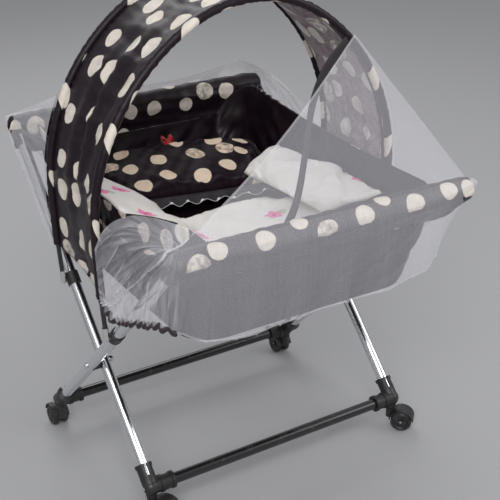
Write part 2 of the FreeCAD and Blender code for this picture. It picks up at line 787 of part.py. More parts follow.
def net(peak_share):
    inner = bow_diameter / 2 + cloth_clearance
    outer = inner + net_thickness
    peak = math.acos(1 - bow_half * (1 - peak_share) / bow_side_radius)
    stops = [peak, peak + net_peak_width / bow_side_radius]
    held = strip_outline(net_bow_edges(-1, outer, stops), net_bow_edges(-1, inner, stops))
    rim = strip_outline(net_rim_edges(-1, net_thickness), net_rim_edges(-1, 0))
    tent = Part.makeLoft([held, rim], True, True)

    stops = [gather_top_rise / bow_side_radius]
    held = strip_outline(net_bow_edges(1, outer, stops), net_bow_edges(1, inner, stops))
    slack = strip_outline(gather_edges(net_thickness), gather_edges(0))
    rim = strip_outline(net_rim_edges(1, net_thickness)[:2], net_rim_edges(1, 0)[:2])
    gather = Part.makeLoft([held, slack, rim], True, False)

    yoke_edges = net_rim_edges(-1, net_thickness)[1:] + net_rim_edges(1, net_thickness)[1:2]
    ends = [yoke_edges[-1].Vertexes[0].Point, yoke_edges[0].Vertexes[0].Point]
    yoke = Part.Face(Part.Wire(yoke_edges + [line(*ends)])).extrude(rear * net_thickness)
    yoke_base = net_rim_height - net_corner_radius
    far_side = net_end_y + net_thickness
    top = strip_outline(fold_edges(net_end_y, yoke_base, 0), fold_edges(far_side, yoke_base, 0))
    hem_near = fold_edges(net_end_y, net_hem_height, net_fold_depth)
    hem_far = fold_edges(far_side, net_hem_height, net_fold_depth)
    skirt = Part.makeLoft([top, strip_outline(hem_near, hem_far)], True, True)
    whole = tent.fuse([gather, yoke, skirt])
    return whole.cut(drawn_corner(-1, net_corner_drop)).cut(drawn_corner(1, gather_corner_drop))


nodes["hood_band"] = hood_band()
nodes["rear_net"] = net(rear_net_peak_share)
nodes["front_net"] = opposite(net(front_net_peak_share))

os.makedirs("parts", exist_ok=True)
for name, shape in nodes.items():
    shape.exportStep("parts/" + name + ".step")
    print(f"{name:28s} solids {len(shape.Solids)} volume {shape.Volume:12.1f} valid {shape.isValid()}")
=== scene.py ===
import math

import bmesh
import bpy
import numpy as np
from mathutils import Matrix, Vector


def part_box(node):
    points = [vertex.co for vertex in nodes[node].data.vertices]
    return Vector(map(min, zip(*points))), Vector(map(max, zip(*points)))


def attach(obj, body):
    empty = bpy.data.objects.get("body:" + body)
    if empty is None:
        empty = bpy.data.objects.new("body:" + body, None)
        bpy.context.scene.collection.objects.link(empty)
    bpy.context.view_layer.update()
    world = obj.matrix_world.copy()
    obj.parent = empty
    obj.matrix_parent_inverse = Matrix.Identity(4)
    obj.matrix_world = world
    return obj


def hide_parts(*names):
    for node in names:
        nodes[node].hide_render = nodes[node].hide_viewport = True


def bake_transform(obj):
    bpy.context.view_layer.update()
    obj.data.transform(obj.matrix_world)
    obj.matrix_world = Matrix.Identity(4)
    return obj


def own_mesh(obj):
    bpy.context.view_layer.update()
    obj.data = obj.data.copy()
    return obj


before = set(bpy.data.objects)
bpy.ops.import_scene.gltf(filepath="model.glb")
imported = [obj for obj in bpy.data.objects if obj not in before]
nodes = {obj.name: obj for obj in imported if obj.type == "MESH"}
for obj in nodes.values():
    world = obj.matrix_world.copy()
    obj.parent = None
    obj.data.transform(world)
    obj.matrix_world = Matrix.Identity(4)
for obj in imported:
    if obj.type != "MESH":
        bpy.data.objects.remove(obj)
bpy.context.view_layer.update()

# The studio: a plain sheet of pale grey paper on the floor, a large soft lamp from the front left,
# two weaker ones, and a camera that looks down on the front left corner.
image_pixels = 500
focal_pixels = 1100
sensor_width = 36
camera_place = (-1.120, -1.900, 1.527)
camera_pitch = math.radians(64.4)
camera_yaw = math.radians(-32.0)
paper_colour = (0.40, 0.40, 0.41)
paper_size = 14
sky_bright = (0.92, 0.93, 0.95)
sky_dim = (0.30, 0.30, 0.32)
sky_strength = 0.55

scene = bpy.context.scene
scene.view_settings.view_transform = "Standard"
camera = bpy.data.objects.new("camera", bpy.data.cameras.new("camera"))
camera.data.sensor_width = sensor_width
camera.data.lens = focal_pixels / image_pixels * sensor_width
camera.location = camera_place
camera.rotation_euler = (camera_pitch, 0, camera_yaw)
scene.collection.objects.link(camera)
scene.camera = camera


class Wire:
    """A wire from one output of a shader node. Sums with it add Math nodes; add puts in any other node."""

    def __init__(self, tree, socket=None):
        self.tree = tree
        self.socket = socket

    def add(self, kind, settings=None, sockets=None, out=0):
        node = self.tree.nodes.new("ShaderNode" + kind)
        for name, value in (settings or {}).items():
            setattr(node, name, value)
        for name, value in (sockets or {}).items():
            self.join(value, node.inputs[name])
        return Wire(self.tree, node.outputs[out])

    def join(self, value, socket):
        if isinstance(value, Wire):
            self.tree.links.new(value.socket, socket)
        else:
            socket.default_value = value

    def maths(self, operation, first, second=0.0):
        return self.add("Math", {"operation": operation}, {0: first, 1: second})

    def __add__(self, other):
        return self.maths("ADD", self, other)

    __radd__ = __add__

    def __sub__(self, other):
        return self.maths("SUBTRACT", self, other)

    def __rsub__(self, other):
        return self.maths("SUBTRACT", other, self)

    def __mul__(self, other):
        return self.maths("MULTIPLY", self, other)

    __rmul__ = __mul__

    def __gt__(self, other):
        return self.maths("GREATER_THAN", self, other)

    def rise(self, low, high):
        """0 below low, 1 above high, and a soft step between."""
        sockets = {"Value": self, "From Min": low, "From Max": high}
        return self.add("MapRange", {"interpolation_type": "SMOOTHSTEP"}, sockets)

    def mix(self, first, second):
        """first where this wire is 0, second where it is 1; both are colours."""
        colours = [c if isinstance(c, Wire) else (*c, 1) for c in (first, second)]
        return self.add("Mix", {"data_type": "RGBA"}, {0: self, 6: colours[0], 7: colours[1]}, 2)

    def axis(self, index):
        return self.add("SeparateXYZ", None, {0: self}, index)

    def stretch(self, x, y, z=1):
        return self.add("VectorMath", {"operation": "MULTIPLY"}, {0: self, 1: (x, y, z)})

    def noise(self, scale, detail=2.0, roughness=0.5):
        sockets = {"Vector": self, "Scale": scale, "Detail": detail, "Roughness": roughness}
        return self.add("TexNoise", None, sockets)

    def bump(self, distance, strength=1.0):
        return self.add("Bump", None, {"Height": self, "Distance": distance, "Strength": strength})


def feed(material, **values):
    """Sets sockets of a material's shader, each to a constant or to a wire."""
    shader = material.node_tree.nodes["Principled BSDF"]
    for name, value in values.items():
        socket = shader.inputs[name.replace("_", " ").title().replace("Ior", "IOR")]
        Wire(material.node_tree).join((*value, 1) if isinstance(value, tuple) else value, socket)


def new_finish(name, space="UV", **constants):
    """A Principled material with these constant sockets, and a wire from its texture places."""
    material = bpy.data.materials.new(name)
    material.use_nodes = True
    feed(material, **constants)
    return material, Wire(material.node_tree).add("TexCoord", out=space)


paper = bpy.data.materials.new("pale_paper")
paper.use_nodes = True
feed(paper, base_color=paper_colour, roughness=0.9)
corner = paper_size / 2
mesh = bpy.data.meshes.new("paper_floor")
places = [(-corner, -corner, 0), (corner, -corner, 0), (corner, corner, 0), (-corner, corner, 0)]
mesh.from_pydata(places, [], [(0, 1, 2, 3)])
mesh.materials.append(paper)
paper_floor = bpy.data.objects.new("paper_floor", mesh)
scene.collection.objects.link(paper_floor)

world = bpy.data.worlds.new("studio_room")
world.use_nodes = True
scene.world = world
wire = Wire(world.node_tree)
direction = wire.add("TexCoord", out="Generated")
light = direction.axis(2).rise(-0.3, 0.7).mix(sky_dim, sky_bright)
background = world.node_tree.nodes["Background"]
wire.join(light, background.inputs["Color"])
background.inputs["Strength"].default_value = sky_strength


def soft_lamp(name, place, power):
    lamp = bpy.data.objects.new(name, bpy.data.lights.new(name, "AREA"))
    lamp.data.size = lamp_size
    lamp.data.energy = power
    lamp.location = place
    way = np.subtract(bed_middle, place)
    flat = math.hypot(way[0], way[1])
    lamp.rotation_euler = (math.atan2(flat, -way[2]), 0, math.atan2(-way[0], way[1]))
    scene.collection.objects.link(lamp)


bed_middle = (0, 0, 0.6)
lamp_size = 2.0
soft_lamp("key_lamp", (-1.7, -2.5, 2.7), 75)
soft_lamp("fill_lamp", (2.6, -1.8, 2.2), 30)
soft_lamp("back_lamp", (0.6, 2.6, 2.8), 34)


# The four legs: bright chromed steel tube, pushed into the elbows at both ends and crossed in pairs on
# the pivot bolts. The tube is drawn, so faint lines run along it.
chrome_colour = (0.80, 0.81, 0.84)
chrome, place = new_finish("chrome_tube", "Object", base_color=chrome_colour, metallic=1.0, roughness=0.1)
drawn_lines = place.stretch(900, 60, 60).noise(1, 2)
feed(chrome, roughness=0.05 + place.noise(60, 3) * 0.12, normal=drawn_lines.bump(0.0002, 0.25))


def dress(material, *names):
    """Gives CAD pieces their finish."""
    for name in names:
        for slot in nodes[name].material_slots:
            slot.material = material


sides = ("left", "right")
corners = [end + "_" + side for end in ("front", "rear") for side in sides]
dress(chrome, *["leg_" + letter + "_" + side for letter in "ab" for side in sides])


# The floor bars, top rails and bows: steel tube and rod in black stoving enamel, a little orange-peeled,
# with some dust on it. The bars and rails sit in the elbows, the bows in their ferrules.
enamel_colour = (0.012, 0.012, 0.013)
enamel, place = new_finish("black_enamel", "Object", base_color=enamel_colour, roughness=0.25,
                           coat_weight=0.4)
dust = place.noise(45, 4).rise(0.55, 0.8)
feed(enamel, base_color=dust.mix(enamel_colour, (0.035, 0.034, 0.033)), roughness=0.2 + dust * 0.25,
     normal=place.noise(700, 1).bump(0.0003, 0.3))
dress(enamel, *[end + kind for end in ("front", "rear") for kind in ("_floor_bar", "_top_rail", "_bow")])


# The elbows, clips, spacers and caster forks: black moulded nylon with a fine grain, rubbed shiny
# where hands and floors touch it. Screws hold the elbows on the tubes.
nylon_colour = (0.016, 0.016, 0.017)
nylon, place = new_finish("black_nylon", "Object", base_color=nylon_colour, roughness=0.45)
rubbed = place.noise(38, 4).rise(0.45, 0.75)
feed(nylon, base_color=rubbed.mix(nylon_colour, (0.03, 0.03, 0.031)), roughness=0.5 - rubbed * 0.18,
     normal=place.noise(1400, 2).bump(0.0002, 0.35))
dress(nylon, "bow_clips_a", "bow_clips_b", "pivot_spacer_left", "pivot_spacer_right")
dress(nylon, *[kind + c for kind in ("foot_elbow_", "top_elbow_", "caster_fork_") for c in corners])


# The caster wheels: harder black plastic, moulded in pairs that turn on one axle, with dust and scuffs
# on the tread.
wheel_colour = (0.02, 0.02, 0.021)
tread, place = new_finish("caster_tread", "Object", base_color=wheel_colour, roughness=0.5)
scuff = place.noise(90, 5, 0.65).rise(0.5, 0.7)
feed(tread, base_color=scuff.mix(wheel_colour, (0.075, 0.073, 0.07)), roughness=0.42 + scuff * 0.3,
     normal=scuff.bump(0.0003, 0.3))
dress(tread, *["caster_wheels_" + c for c in corners])


# The bolts, nuts, screws, caster stems, axles and bow ferrules: turned steel, plated, a little uneven
# in its shine.
plated_colour = (0.74, 0.74, 0.72)
plated, place = new_finish("plated_steel", "Object", base_color=plated_colour, metallic=1.0, roughness=0.2)
feed(plated, roughness=0.14 + place.noise(160, 3) * 0.2, normal=place.noise(500, 2).bump(0.0001, 0.3))
dress(plated, "pivot_bolts", "pivot_nuts", "elbow_screws_a", "elbow_screws_b")
dress(plated, *[kind + c for kind in ("caster_stem_", "caster_axle_") for c in corners])
dress(plated, "rear_bow_ferrules", "front_bow_ferrules")


# The rim sleeves: black satin printed with cream dots, wadded, drawn over each top rail and its
# elbows, and sewn together below the rail. The two are the same, half a turn apart.
satin_colour = (0.0098, 0.0050, 0.0082)
cream_colour = (0.78, 0.71, 0.63)
satin_gloss = 0.28
dot_spacing = 0.072
smallest_dot = 0.22
largest_dot = 0.34
rail_x, rail_y, rail_z = np.mean(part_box("rear_top_rail"), 0)
leg_half = 0.320
sleeve_radius = 0.0265
sleeve_reach = leg_half + 0.020
seam_drop = 0.062
seam_inset = 0.022
sleeve_strip = 0.046
sleeve_end = 0.05
sleeve_crease = 0.0014
sleeve_fold = 0.0017
wave_count = 10


def crumple(u, v, wave_u, wave_v, seed):
    """Smooth uneven creases over the layout u, v, with these wavelengths; about -1 to 1."""
    random = np.random.default_rng(seed)
    height = np.zeros(np.broadcast(u, v).shape)
    for _ in range(wave_count):
        turn_u = random.uniform(0.5, 1.5) * 2 * math.pi / wave_u
        turn_v = random.choice((-1, 1)) * random.uniform(0.5, 1.5) * 2 * math.pi / wave_v
        size = random.uniform(0.4, 1)
        height = height + size * np.sin(turn_u * u + turn_v * v + random.uniform(0, 2 * math.pi))
    return height / math.sqrt(wave_count)


def unit(ways):
    """The same directions, one long."""
    return ways / np.maximum(np.linalg.norm(ways, axis=-1, keepdims=True), 1e-9)


def pushed(points, height, loop=False):
    """The grid of points moved along its own normals; loop closes its rows."""
    slope = np.roll(points, -1, 1) - np.roll(points, 1, 1) if loop else np.gradient(points, axis=1)
    return points + unit(np.cross(np.gradient(points, axis=0), slope)) * height[..., None]


def flat_layout(points):
    """Where each point lies on the cloth before it was hung, measured from the grid's middle."""
    layout = np.zeros((*points.shape[:2], 2))
    for axis in (0, 1):
        steps = np.linalg.norm(np.diff(points, axis=axis), axis=2)
        run = np.concatenate([np.zeros_like(steps.take([0], axis)), np.cumsum(steps, axis)], axis)
        layout[..., axis] = run - run.take([run.shape[axis] // 2], axis)
    return layout


def cloth(name, points, material, loop=False, backing=None, layout=None):
    """A grid of points joined into a smooth mesh, with its flat layout in metres as UVs; loop closes its
    rows, and backing is a second material."""
    rows, columns = points.shape[:2]
    if layout is None:
        layout = flat_layout(np.concatenate([points, points[:, :1]], 1) if loop else points)
    i, j = np.meshgrid(np.arange(layout.shape[0] - 1), np.arange(layout.shape[1] - 1), indexing="ij")
    around = [(i, j), (i + 1, j), (i + 1, j + 1), (i, j + 1)]
    faces = np.stack([a % rows * columns + b % columns for a, b in around], -1).reshape(-1, 4)
    mesh = bpy.data.meshes.new(name)
    mesh.from_pydata(points.reshape(-1, 3).tolist(), [], faces.tolist())
    uv = np.stack([layout[a, b] for a, b in around], 2).reshape(-1)
    mesh.uv_layers.new(name="flat_cloth").data.foreach_set("uv", uv.astype(np.float32))
    mesh.shade_smooth()
    mesh.materials.append(material)
    if backing:
        mesh.materials.append(backing)
    piece = bpy.data.objects.new(name, mesh)
    scene.collection.objects.link(piece)
    return piece


def satin_relief(place):
    """The fine ribs of satin, with slack here and there."""
    ribs = place.stretch(240, 1900).noise(1, 2)
    slack = place.noise(26, 3)
    return (ribs * 0.25 + slack).bump(0.0016, 0.35)


def strewn(place, spacing, randomness, out):
    """One output of cells strewn over the cloth, and a chance from 0 to 1 that each cell has for itself."""
    sockets = {"Vector": place, "Scale": 1 / spacing, "Randomness": randomness}
    cell = {"voronoi_dimensions": "2D"}
    colour = place.add("TexVoronoi", cell, sockets, "Color")
    return place.add("TexVoronoi", cell, sockets, out), place.add("SeparateColor", None, {0: colour}, 0)


def dotted_satin(name, ground, dot, gloss=satin_gloss, strip=None, spacing=dot_spacing):
    """Satin printed with dots of mixed sizes, a few of them rubbed; only down to strip, if given."""
    material, place = new_finish(name, base_color=ground, specular_ior_level=gloss)
    distance, chance = strewn(place, spacing, 0.62, "Distance")
    radius = smallest_dot + (largest_dot - smallest_dot) * chance
    printed = (radius - distance + 0.02 * place.noise(90, 2)).rise(0.0, 0.03)
    if strip:
        printed = printed * (1 - (place.axis(0) > strip))
    worn = place.noise(70, 4, 0.6).rise(0.35, 0.75)
    faded = (chance > 0.86) * worn
    dot_shade = faded.mix(worn.mix(dot, tuple(c * 0.86 for c in dot)), tuple(c * 0.28 for c in dot))
    ground_shade = worn.mix(ground, tuple(c * 1.9 for c in ground))
    feed(material, base_color=printed.mix(ground_shade, dot_shade),
         roughness=0.4 + printed * 0.2 + worn * 0.08, normal=satin_relief(place))
    return material


rail_bodies = {"rear": "frame_a", "front": "frame_b"}
turns = {"rear": 1, "front": -1}


def half_turn(points, end):
    """Places at the rear end of the bed, or the same ones half a turn on, at the front end."""
    return points * np.array([turns[end], turns[end], 1])


def rim_sleeve(end, seed):
    """A drop-shaped sleeve: round over the rail, drawn together in a seam below it."""
    along = np.linspace(-1, 1, 121)
    way = np.linspace(-math.pi, math.pi, 64, endpoint=False)
    x = rail_x + sleeve_reach * along
    inward = np.clip((1 - np.abs(along)) * sleeve_reach / sleeve_end, 0, 1)
    fullness = 0.80 + 0.20 * np.sin(inward * math.pi / 2)
    fullness[[0, -1]] = 0.06
    fullness[[1, -2]] = 0.62
    hanging = np.clip(np.abs(way) / math.pi * 2 - 1, 0, 1) ** 1.6
    radius_y = sleeve_radius * np.sin(way) * (1 - 0.62 * hanging)
    radius_z = sleeve_radius * np.cos(way)
    below = hanging * (seam_drop - sleeve_radius)
    drop = inward[:, None]
    y = rail_y + radius_y * fullness[:, None] - hanging * seam_inset * drop
    z = rail_z + radius_z * fullness[:, None] - below * drop
    points = np.stack([x[:, None] + 0 * y, y, z], -1)
    creases = crumple(x[:, None], way * sleeve_radius, 0.05, 0.12, seed)
    lengthwise = crumple(x[:, None], way * sleeve_radius, 0.22, 0.022, seed + 1)
    lengthwise = lengthwise * np.clip(np.abs(way) - 0.6, 0, 1)
    points = pushed(points, (creases * sleeve_crease + lengthwise * sleeve_fold) * drop, loop=True)
    layout = flat_layout(np.concatenate([points, points[:, :1]], 1))[..., ::-1]
    return cloth(end + "_rim_sleeve", half_turn(points, end), sleeve_satin, loop=True, layout=layout)


sleeve_satin = dotted_satin("sleeve_satin", satin_colour, cream_colour, strip=sleeve_strip)
for end, seed in (("rear", 11), ("front", 12)):
    piece = rim_sleeve(end, seed)
    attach(piece, rail_bodies[end])
    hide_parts(end + "_rim_pad")


# The basket: plain black satin sewn into a tub, with a dotted strip round the outside of its top edge.
# Its end walls hang from the rim sleeves, and elastic draws in the top of its side walls.
basket_half_x = 0.283
basket_half_y = 0.394
basket_side_top = 0.702
basket_side_slope = 0.05
basket_left_y = (-0.394, -0.315, -0.233, -0.166, -0.108, 0.0, 0.15, 0.319, 0.394)
basket_left_z = (0.736, 0.724, 0.705, 0.685, 0.667, 0.663, 0.679, 0.716, 0.722)
basket_left_draw = -0.006
basket_right_sag = 0.002
basket_right_draw = 0.014
basket_floor_z = 0.4705
basket_floor_half_x = 0.266
basket_floor_half_y = 0.331
basket_corner = 0.075
strip_depth = 0.085
seam_lap = 0.004
cloth_thickness = 0.0025
weld_distance = 1e-5
wall_depth = 0.22
wall_round = 2 * math.pi * 0.35
side_start = 0.215
big_crease = 0.005
small_crease = 0.0026
ruffle_pitch = 0.024
right_ruffle = 0.0045
left_ruffle = 0.001
printed_depth = 0.23
printed_round = 2.3
black_satin, place = new_finish("black_satin", base_color=satin_colour, specular_ior_level=satin_gloss)
slack = place.noise(30, 4)
shade = slack.rise(0.4, 0.8).mix(satin_colour, tuple(c * 2.2 for c in satin_colour))
feed(black_satin, base_color=shade, roughness=0.26 + slack * 0.16, normal=satin_relief(place))


def tub_outline(half_x, half_y, radius, share):
    """Points of a rectangle with rounded corners, at these shares of its length from the middle of +X."""
    side_x = half_x - radius
    side_y = half_y - radius
    bend = radius * math.pi / 2
    lengths = [side_y, bend, 2 * side_x, bend, 2 * side_y, bend, 2 * side_x, bend, side_y]
    starts = np.concatenate([[0], np.cumsum(lengths)])
    run = np.asarray(share) * starts[-1]
    part = np.clip(np.searchsorted(starts, run, side="right") - 1, 0, len(lengths) - 1)
    rest = run - starts[part]
    x = np.array((half_x, side_x, side_x, -side_x, -half_x, -side_x, -side_x, side_x, half_x))[part]
    y = np.array((0, side_y, half_y, side_y, side_y, -side_y, -half_y, -side_y, -side_y))[part]
    on_corner = part % 2 == 1
    angle = part // 2 * math.pi / 2 + np.where(on_corner, rest / radius, math.pi / 2)
    reach = np.where(on_corner, radius, rest)
    return x + reach * np.cos(angle), y + reach * np.sin(angle)


around = np.linspace(0, 1, 320, endpoint=False)
down = np.linspace(0, 1, 46)
top_x, top_y = tub_outline(basket_half_x, basket_half_y, basket_corner, around)
low_x, low_y = tub_outline(basket_floor_half_x, basket_floor_half_y, basket_corner, around)
at_side = np.clip((np.abs(top_x) - side_start) / (basket_half_x - side_start), 0, 1) ** 0.8
mid_side = np.clip(1 - (top_y / (basket_half_y - basket_corner)) ** 2, 0, 1) * at_side
end_top = rail_z - seam_drop + seam_lap
draw = np.where(top_x > 0, basket_right_draw, basket_left_draw)
right_z = basket_side_top + basket_side_slope * top_y - basket_right_sag * mid_side
left_z = np.interp(top_y, basket_left_y, basket_left_z)
top_z = end_top + (np.where(top_x > 0, right_z, left_z) - end_top) * at_side
top_x = top_x - np.sign(top_x) * draw * mid_side
ease = down[:, None] ** 1.15
points = np.stack([top_x + (low_x - top_x) * ease, top_y + (low_y - top_y) * ease,
                   top_z + (basket_floor_z - top_z) * down[:, None]], -1)
length_round = around * wall_round
belly = np.sin(down[:, None] * math.pi)
depth = down[:, None] * wall_depth
creases = crumple(length_round, depth, 0.09, 0.16, 21) * belly * big_crease
creases = creases + crumple(length_round, depth, 0.05, 0.07, 22) * belly * small_crease
uneven = 4 * crumple(length_round, 0, 0.16, 1, 23)
ruffle = np.sin(length_round / ruffle_pitch * 2 * math.pi + uneven)
slackness = np.clip(0.3 + crumple(length_round, 0, 0.30, 1, 24), 0.1, 1)
ruffle = ruffle * at_side * slackness * np.where(top_x > 0, right_ruffle, left_ruffle)
points = pushed(points, creases + ruffle * np.clip(1 - down / 0.12, 0, 1)[:, None], loop=True)
layout = np.zeros((len(down), len(around) + 1, 2))
layout[..., 0] = down[:, None] * printed_depth + strip_depth * (1 - np.append(at_side, at_side[0]))
layout[..., 1] = np.append(around, 1) * printed_round
floor_rows = np.linspace(1, 0.02, 14)[1:]
floor = np.stack([low_x, low_y, 0 * low_x], -1) * floor_rows[:, None, None]
floor[..., 2] = basket_floor_z
points = np.concatenate([points, floor])
layout = np.concatenate([layout, np.repeat(layout[-1:], len(floor_rows), 0)])
layout[len(down):, :, 0] += (1 - floor_rows)[:, None] * 0.3
outside = dotted_satin("strip_satin", satin_colour, cream_colour, strip=strip_depth)
basket = cloth("basket_tub", points, outside, loop=True, layout=layout, backing=black_satin)


def weld(piece):
    """Joins points that lie on each other and turns all faces outward."""
    shape = bmesh.new()
    shape.from_mesh(piece.data)
    bmesh.ops.remove_doubles(shape, verts=shape.verts, dist=weld_distance)
    bmesh.ops.recalc_face_normals(shape, faces=shape.faces)
    shape.to_mesh(piece.data)
    shape.free()


def thickened(piece, thickness, backing=0):
    """Gives a sheet its thickness, with its back in another of its materials."""
    skin = piece.modifiers.new("thickness", "SOLIDIFY")
    skin.thickness = thickness
    skin.offset = 0
    skin.material_offset = backing
    graph = bpy.context.evaluated_depsgraph_get()
    made = bpy.data.meshes.new_from_object(piece.evaluated_get(graph))
    piece.modifiers.clear()
    piece.data = made


def bedded(piece, node):
    """Fixes a soft piece where it lies and hides the CAD part it replaces."""
    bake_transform(piece)
    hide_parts(node)


thickened(basket, cloth_thickness, 1)
bedded(basket, "basket")


# The base board and the mattress: a thin pressed board, and a foam pad in black satin with a seam round
# its edge, flat underneath. Both lie loose in the basket.
board_colour = (0.22, 0.13, 0.07)
board, place = new_finish("hardboard", "Object", base_color=board_colour, roughness=0.75)
fibre = place.noise(260, 6, 0.7)
feed(board, base_color=fibre.rise(0.3, 0.7).mix(board_colour, (0.34, 0.22, 0.13)),
     roughness=0.6 + fibre * 0.3, normal=fibre.bump(0.0004, 0.5))


def stuffed(name, half_x, half_y, radius, draw, profile, middle, material, creases, seed):
    """A closed cushion: its outline, drawn in between the corners, swept through a profile of
    (share of the outline, height)."""
    share = np.linspace(0, 1, 200, endpoint=False)
    x, y = tub_outline(half_x, half_y, radius, share)
    pull_x = draw * np.clip(1 - (y / half_y) ** 2, 0, 1)
    pull_y = draw * np.clip(1 - (x / half_x) ** 2, 0, 1)
    x = x * (1 - pull_x / half_x)
    y = y * (1 - pull_y / half_y)
    rings, heights = np.array(profile).T[..., None]
    points = np.stack([x * rings, y * rings, heights + 0 * x], -1)
    wrinkle = crumple(points[..., 0], points[..., 1], 0.05, 0.07, seed)
    fine = crumple(points[..., 0], points[..., 1], 0.02, 0.03, seed + 1)
    near_edge = rings ** 3
    wrinkle = (wrinkle * 0.6 + fine * 0.4 * near_edge) * creases * (0.25 + near_edge)
    points = pushed(points, -wrinkle, loop=True)
    layout = points[..., :2] * (1 + 0.12 * rings[..., None] ** 2)
    layout = np.concatenate([layout, layout[:, :1]], 1)
    piece = cloth(name, points + np.array(middle), material, loop=True, layout=layout)
    weld(piece)
    return piece


def crown(top, base, sharp, rows=26):
    """A cushion's profile from the middle of its top over the edge to the middle of its underside."""
    rings = np.sin(np.linspace(0, math.pi / 2, rows))
    over = [(ring, top * (1 - ring ** 2.6) ** 0.55) for ring in rings]
    under = [(ring, -base * (1 - ring ** sharp) ** 0.4) for ring in rings[-2::-1]]
    return over + under


board_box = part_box("base_board")
board_half = (board_box[1][2] - board_box[0][2]) / 2
board_corner = 0.04
rings = np.linspace(0, 1, 30)
flat_board = [(ring, board_half) for ring in rings] + [(ring, -board_half) for ring in rings[::-1]]
floor_board = stuffed("floor_board", board_box[1][0], board_box[1][1], board_corner, 0.0, flat_board,
                      (0, 0, board_box[0][2] + board_half), board, 0.0, 30)
bedded(floor_board, "base_board")

mattress_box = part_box("mattress")
mattress_top = mattress_box[1][2]
mattress_half = (mattress_box[1][2] - mattress_box[0][2]) / 2
mattress_middle = (0, 0, mattress_top - mattress_half)
mattress_corner = 0.05
mattress_draw = 0.006
mattress_crease = 0.0016
mattress = stuffed("mattress_pad", mattress_box[1][0], mattress_box[1][1], mattress_corner, mattress_draw,
                   crown(mattress_half, mattress_half, 14), mattress_middle, black_satin,
                   mattress_crease, 31)
bedded(mattress, "mattress")


# The pillow: dotted satin over wadding, thicker at the back where it leans on the wall, with a gathered
# frill of black lace edged in white round it and a small red ribbon bow on its back edge.
pillow_half_x = 0.200
pillow_half_y = 0.100
pillow_thickness = 0.056
pillow_middle = (0.020, 0.216, 0.562)
pillow_lean = 0.24
pillow_angle = math.radians(-11)
pillow_corner = 0.42
pillow_draw = 0.07
wadding_frames = 20
wadding_bump = 0.005
cloth_bump = 0.0013


def quilted(name, spine, thickness, seed, material, edge=8):
    """Two sheets over a grid of points, sewn together round its edges and lightly filled."""
    rows, columns = spine.shape[:2]
    u = np.linspace(-1, 1, rows)[:, None]
    v = np.linspace(-1, 1, columns)[None, :]
    full = np.sqrt(np.clip((1 - u ** edge) * (1 - v ** edge), 0, 1))
    bumps = crumple(spine[..., 0], spine[..., 1], 0.16, 0.20, seed) * wadding_bump
    bumps = bumps + crumple(spine[..., 0], spine[..., 1], 0.05, 0.06, seed + 1) * cloth_bump
    top = pushed(spine, (thickness / 2 + bumps) * full)
    low = pushed(spine, -thickness / 2 * full)
    ring = np.concatenate([top, low[:, ::-1]], 1)
    layout = flat_layout(spine)
    layout = np.concatenate([layout, layout[:, ::-1], layout[:, :1]], 1)
    piece = cloth(name, ring, material, loop=True, layout=layout)
    weld(piece)
    return piece


def outline_of(spine):
    """The places round the edge of a grid, once round."""
    return np.concatenate([spine[:-1, 0], spine[-1, :-1], spine[:0:-1, -1], spine[0, :0:-1]])


def spots(piece, mesh=None):
    """Where a piece's points are."""
    found = np.zeros(len(piece.data.vertices) * 3, np.float32)
    (mesh or piece.data).vertices.foreach_get("co", found)
    return found.reshape(-1, 3).astype(float)


def wadded(piece, seam, swell, pressure, spare):
    """Fills a closed piece as its wadding does: the cloth, cut with some to spare, is blown up between
    its fixed seams, and no point moves further than swell."""
    before = spots(piece)
    near = [np.min(np.linalg.norm(seam - place, axis=1)) < 1e-4 for place in before]
    piece.vertex_groups.new(name="seam").add(np.flatnonzero(near).tolist(), 1.0, "REPLACE")
    blown = piece.modifiers.new("wadding", "CLOTH").settings
    blown.vertex_group_mass = "seam"
    blown.use_pressure = True
    blown.uniform_pressure_force = pressure
    blown.shrink_min = -spare
    blown.effector_weights.gravity = 0
    for number in range(1, wadding_frames + 1):
        scene.frame_set(number)
    graph = bpy.context.evaluated_depsgraph_get()
    move = spots(piece, piece.evaluated_get(graph).data) - before
    move *= np.minimum(1, swell / np.maximum(np.linalg.norm(move, axis=1, keepdims=True), 1e-9))
    piece.modifiers.clear()
    piece.vertex_groups.clear()
    piece.data.vertices.foreach_set("co", (before + move).ravel())
    scene.frame_set(1)


u = np.linspace(-1, 1, 91)[:, None]
v = np.linspace(-1, 1, 47)[None, :]
x = pillow_half_x * u * np.sqrt(1 - pillow_corner * v ** 2 / 2) * (1 - pillow_draw / 2 * (1 - v ** 2))
y = pillow_half_y * v * np.sqrt(1 - pillow_corner * u ** 2 / 2) * (1 - pillow_draw * (1 - u ** 2))
spine = np.stack([x, y, 0 * x], -1)
pillow_satin = dotted_satin("pillow_satin", satin_colour, (0.86, 0.70, 0.54), 0.06)
pillow = quilted("pillow_cushion", spine, pillow_thickness, 41, pillow_satin, 4)
seam = outline_of(spine)
wadded(pillow, seam, swell=0.008, pressure=4.0, spare=0.028)


def turned(points, angle):
    """Turned about the upright axis."""
    x, y, z = np.moveaxis(points, -1, 0)
    cos = math.cos(angle)
    sin = math.sin(angle)
    return np.stack([x * cos - y * sin, x * sin + y * cos, z], -1)


def propped(points):
    """Places of the flat pillow as it lies: leaning on the wall behind it, turned, on the mattress."""
    share = np.clip(1 + points[..., 2:] / (pillow_thickness / 2), 0, 1)
    lift = (points[..., 1:2] + pillow_half_y) * pillow_lean * share
    return turned(points + lift * np.array([0, 0, 1]), pillow_angle) + np.array(pillow_middle)


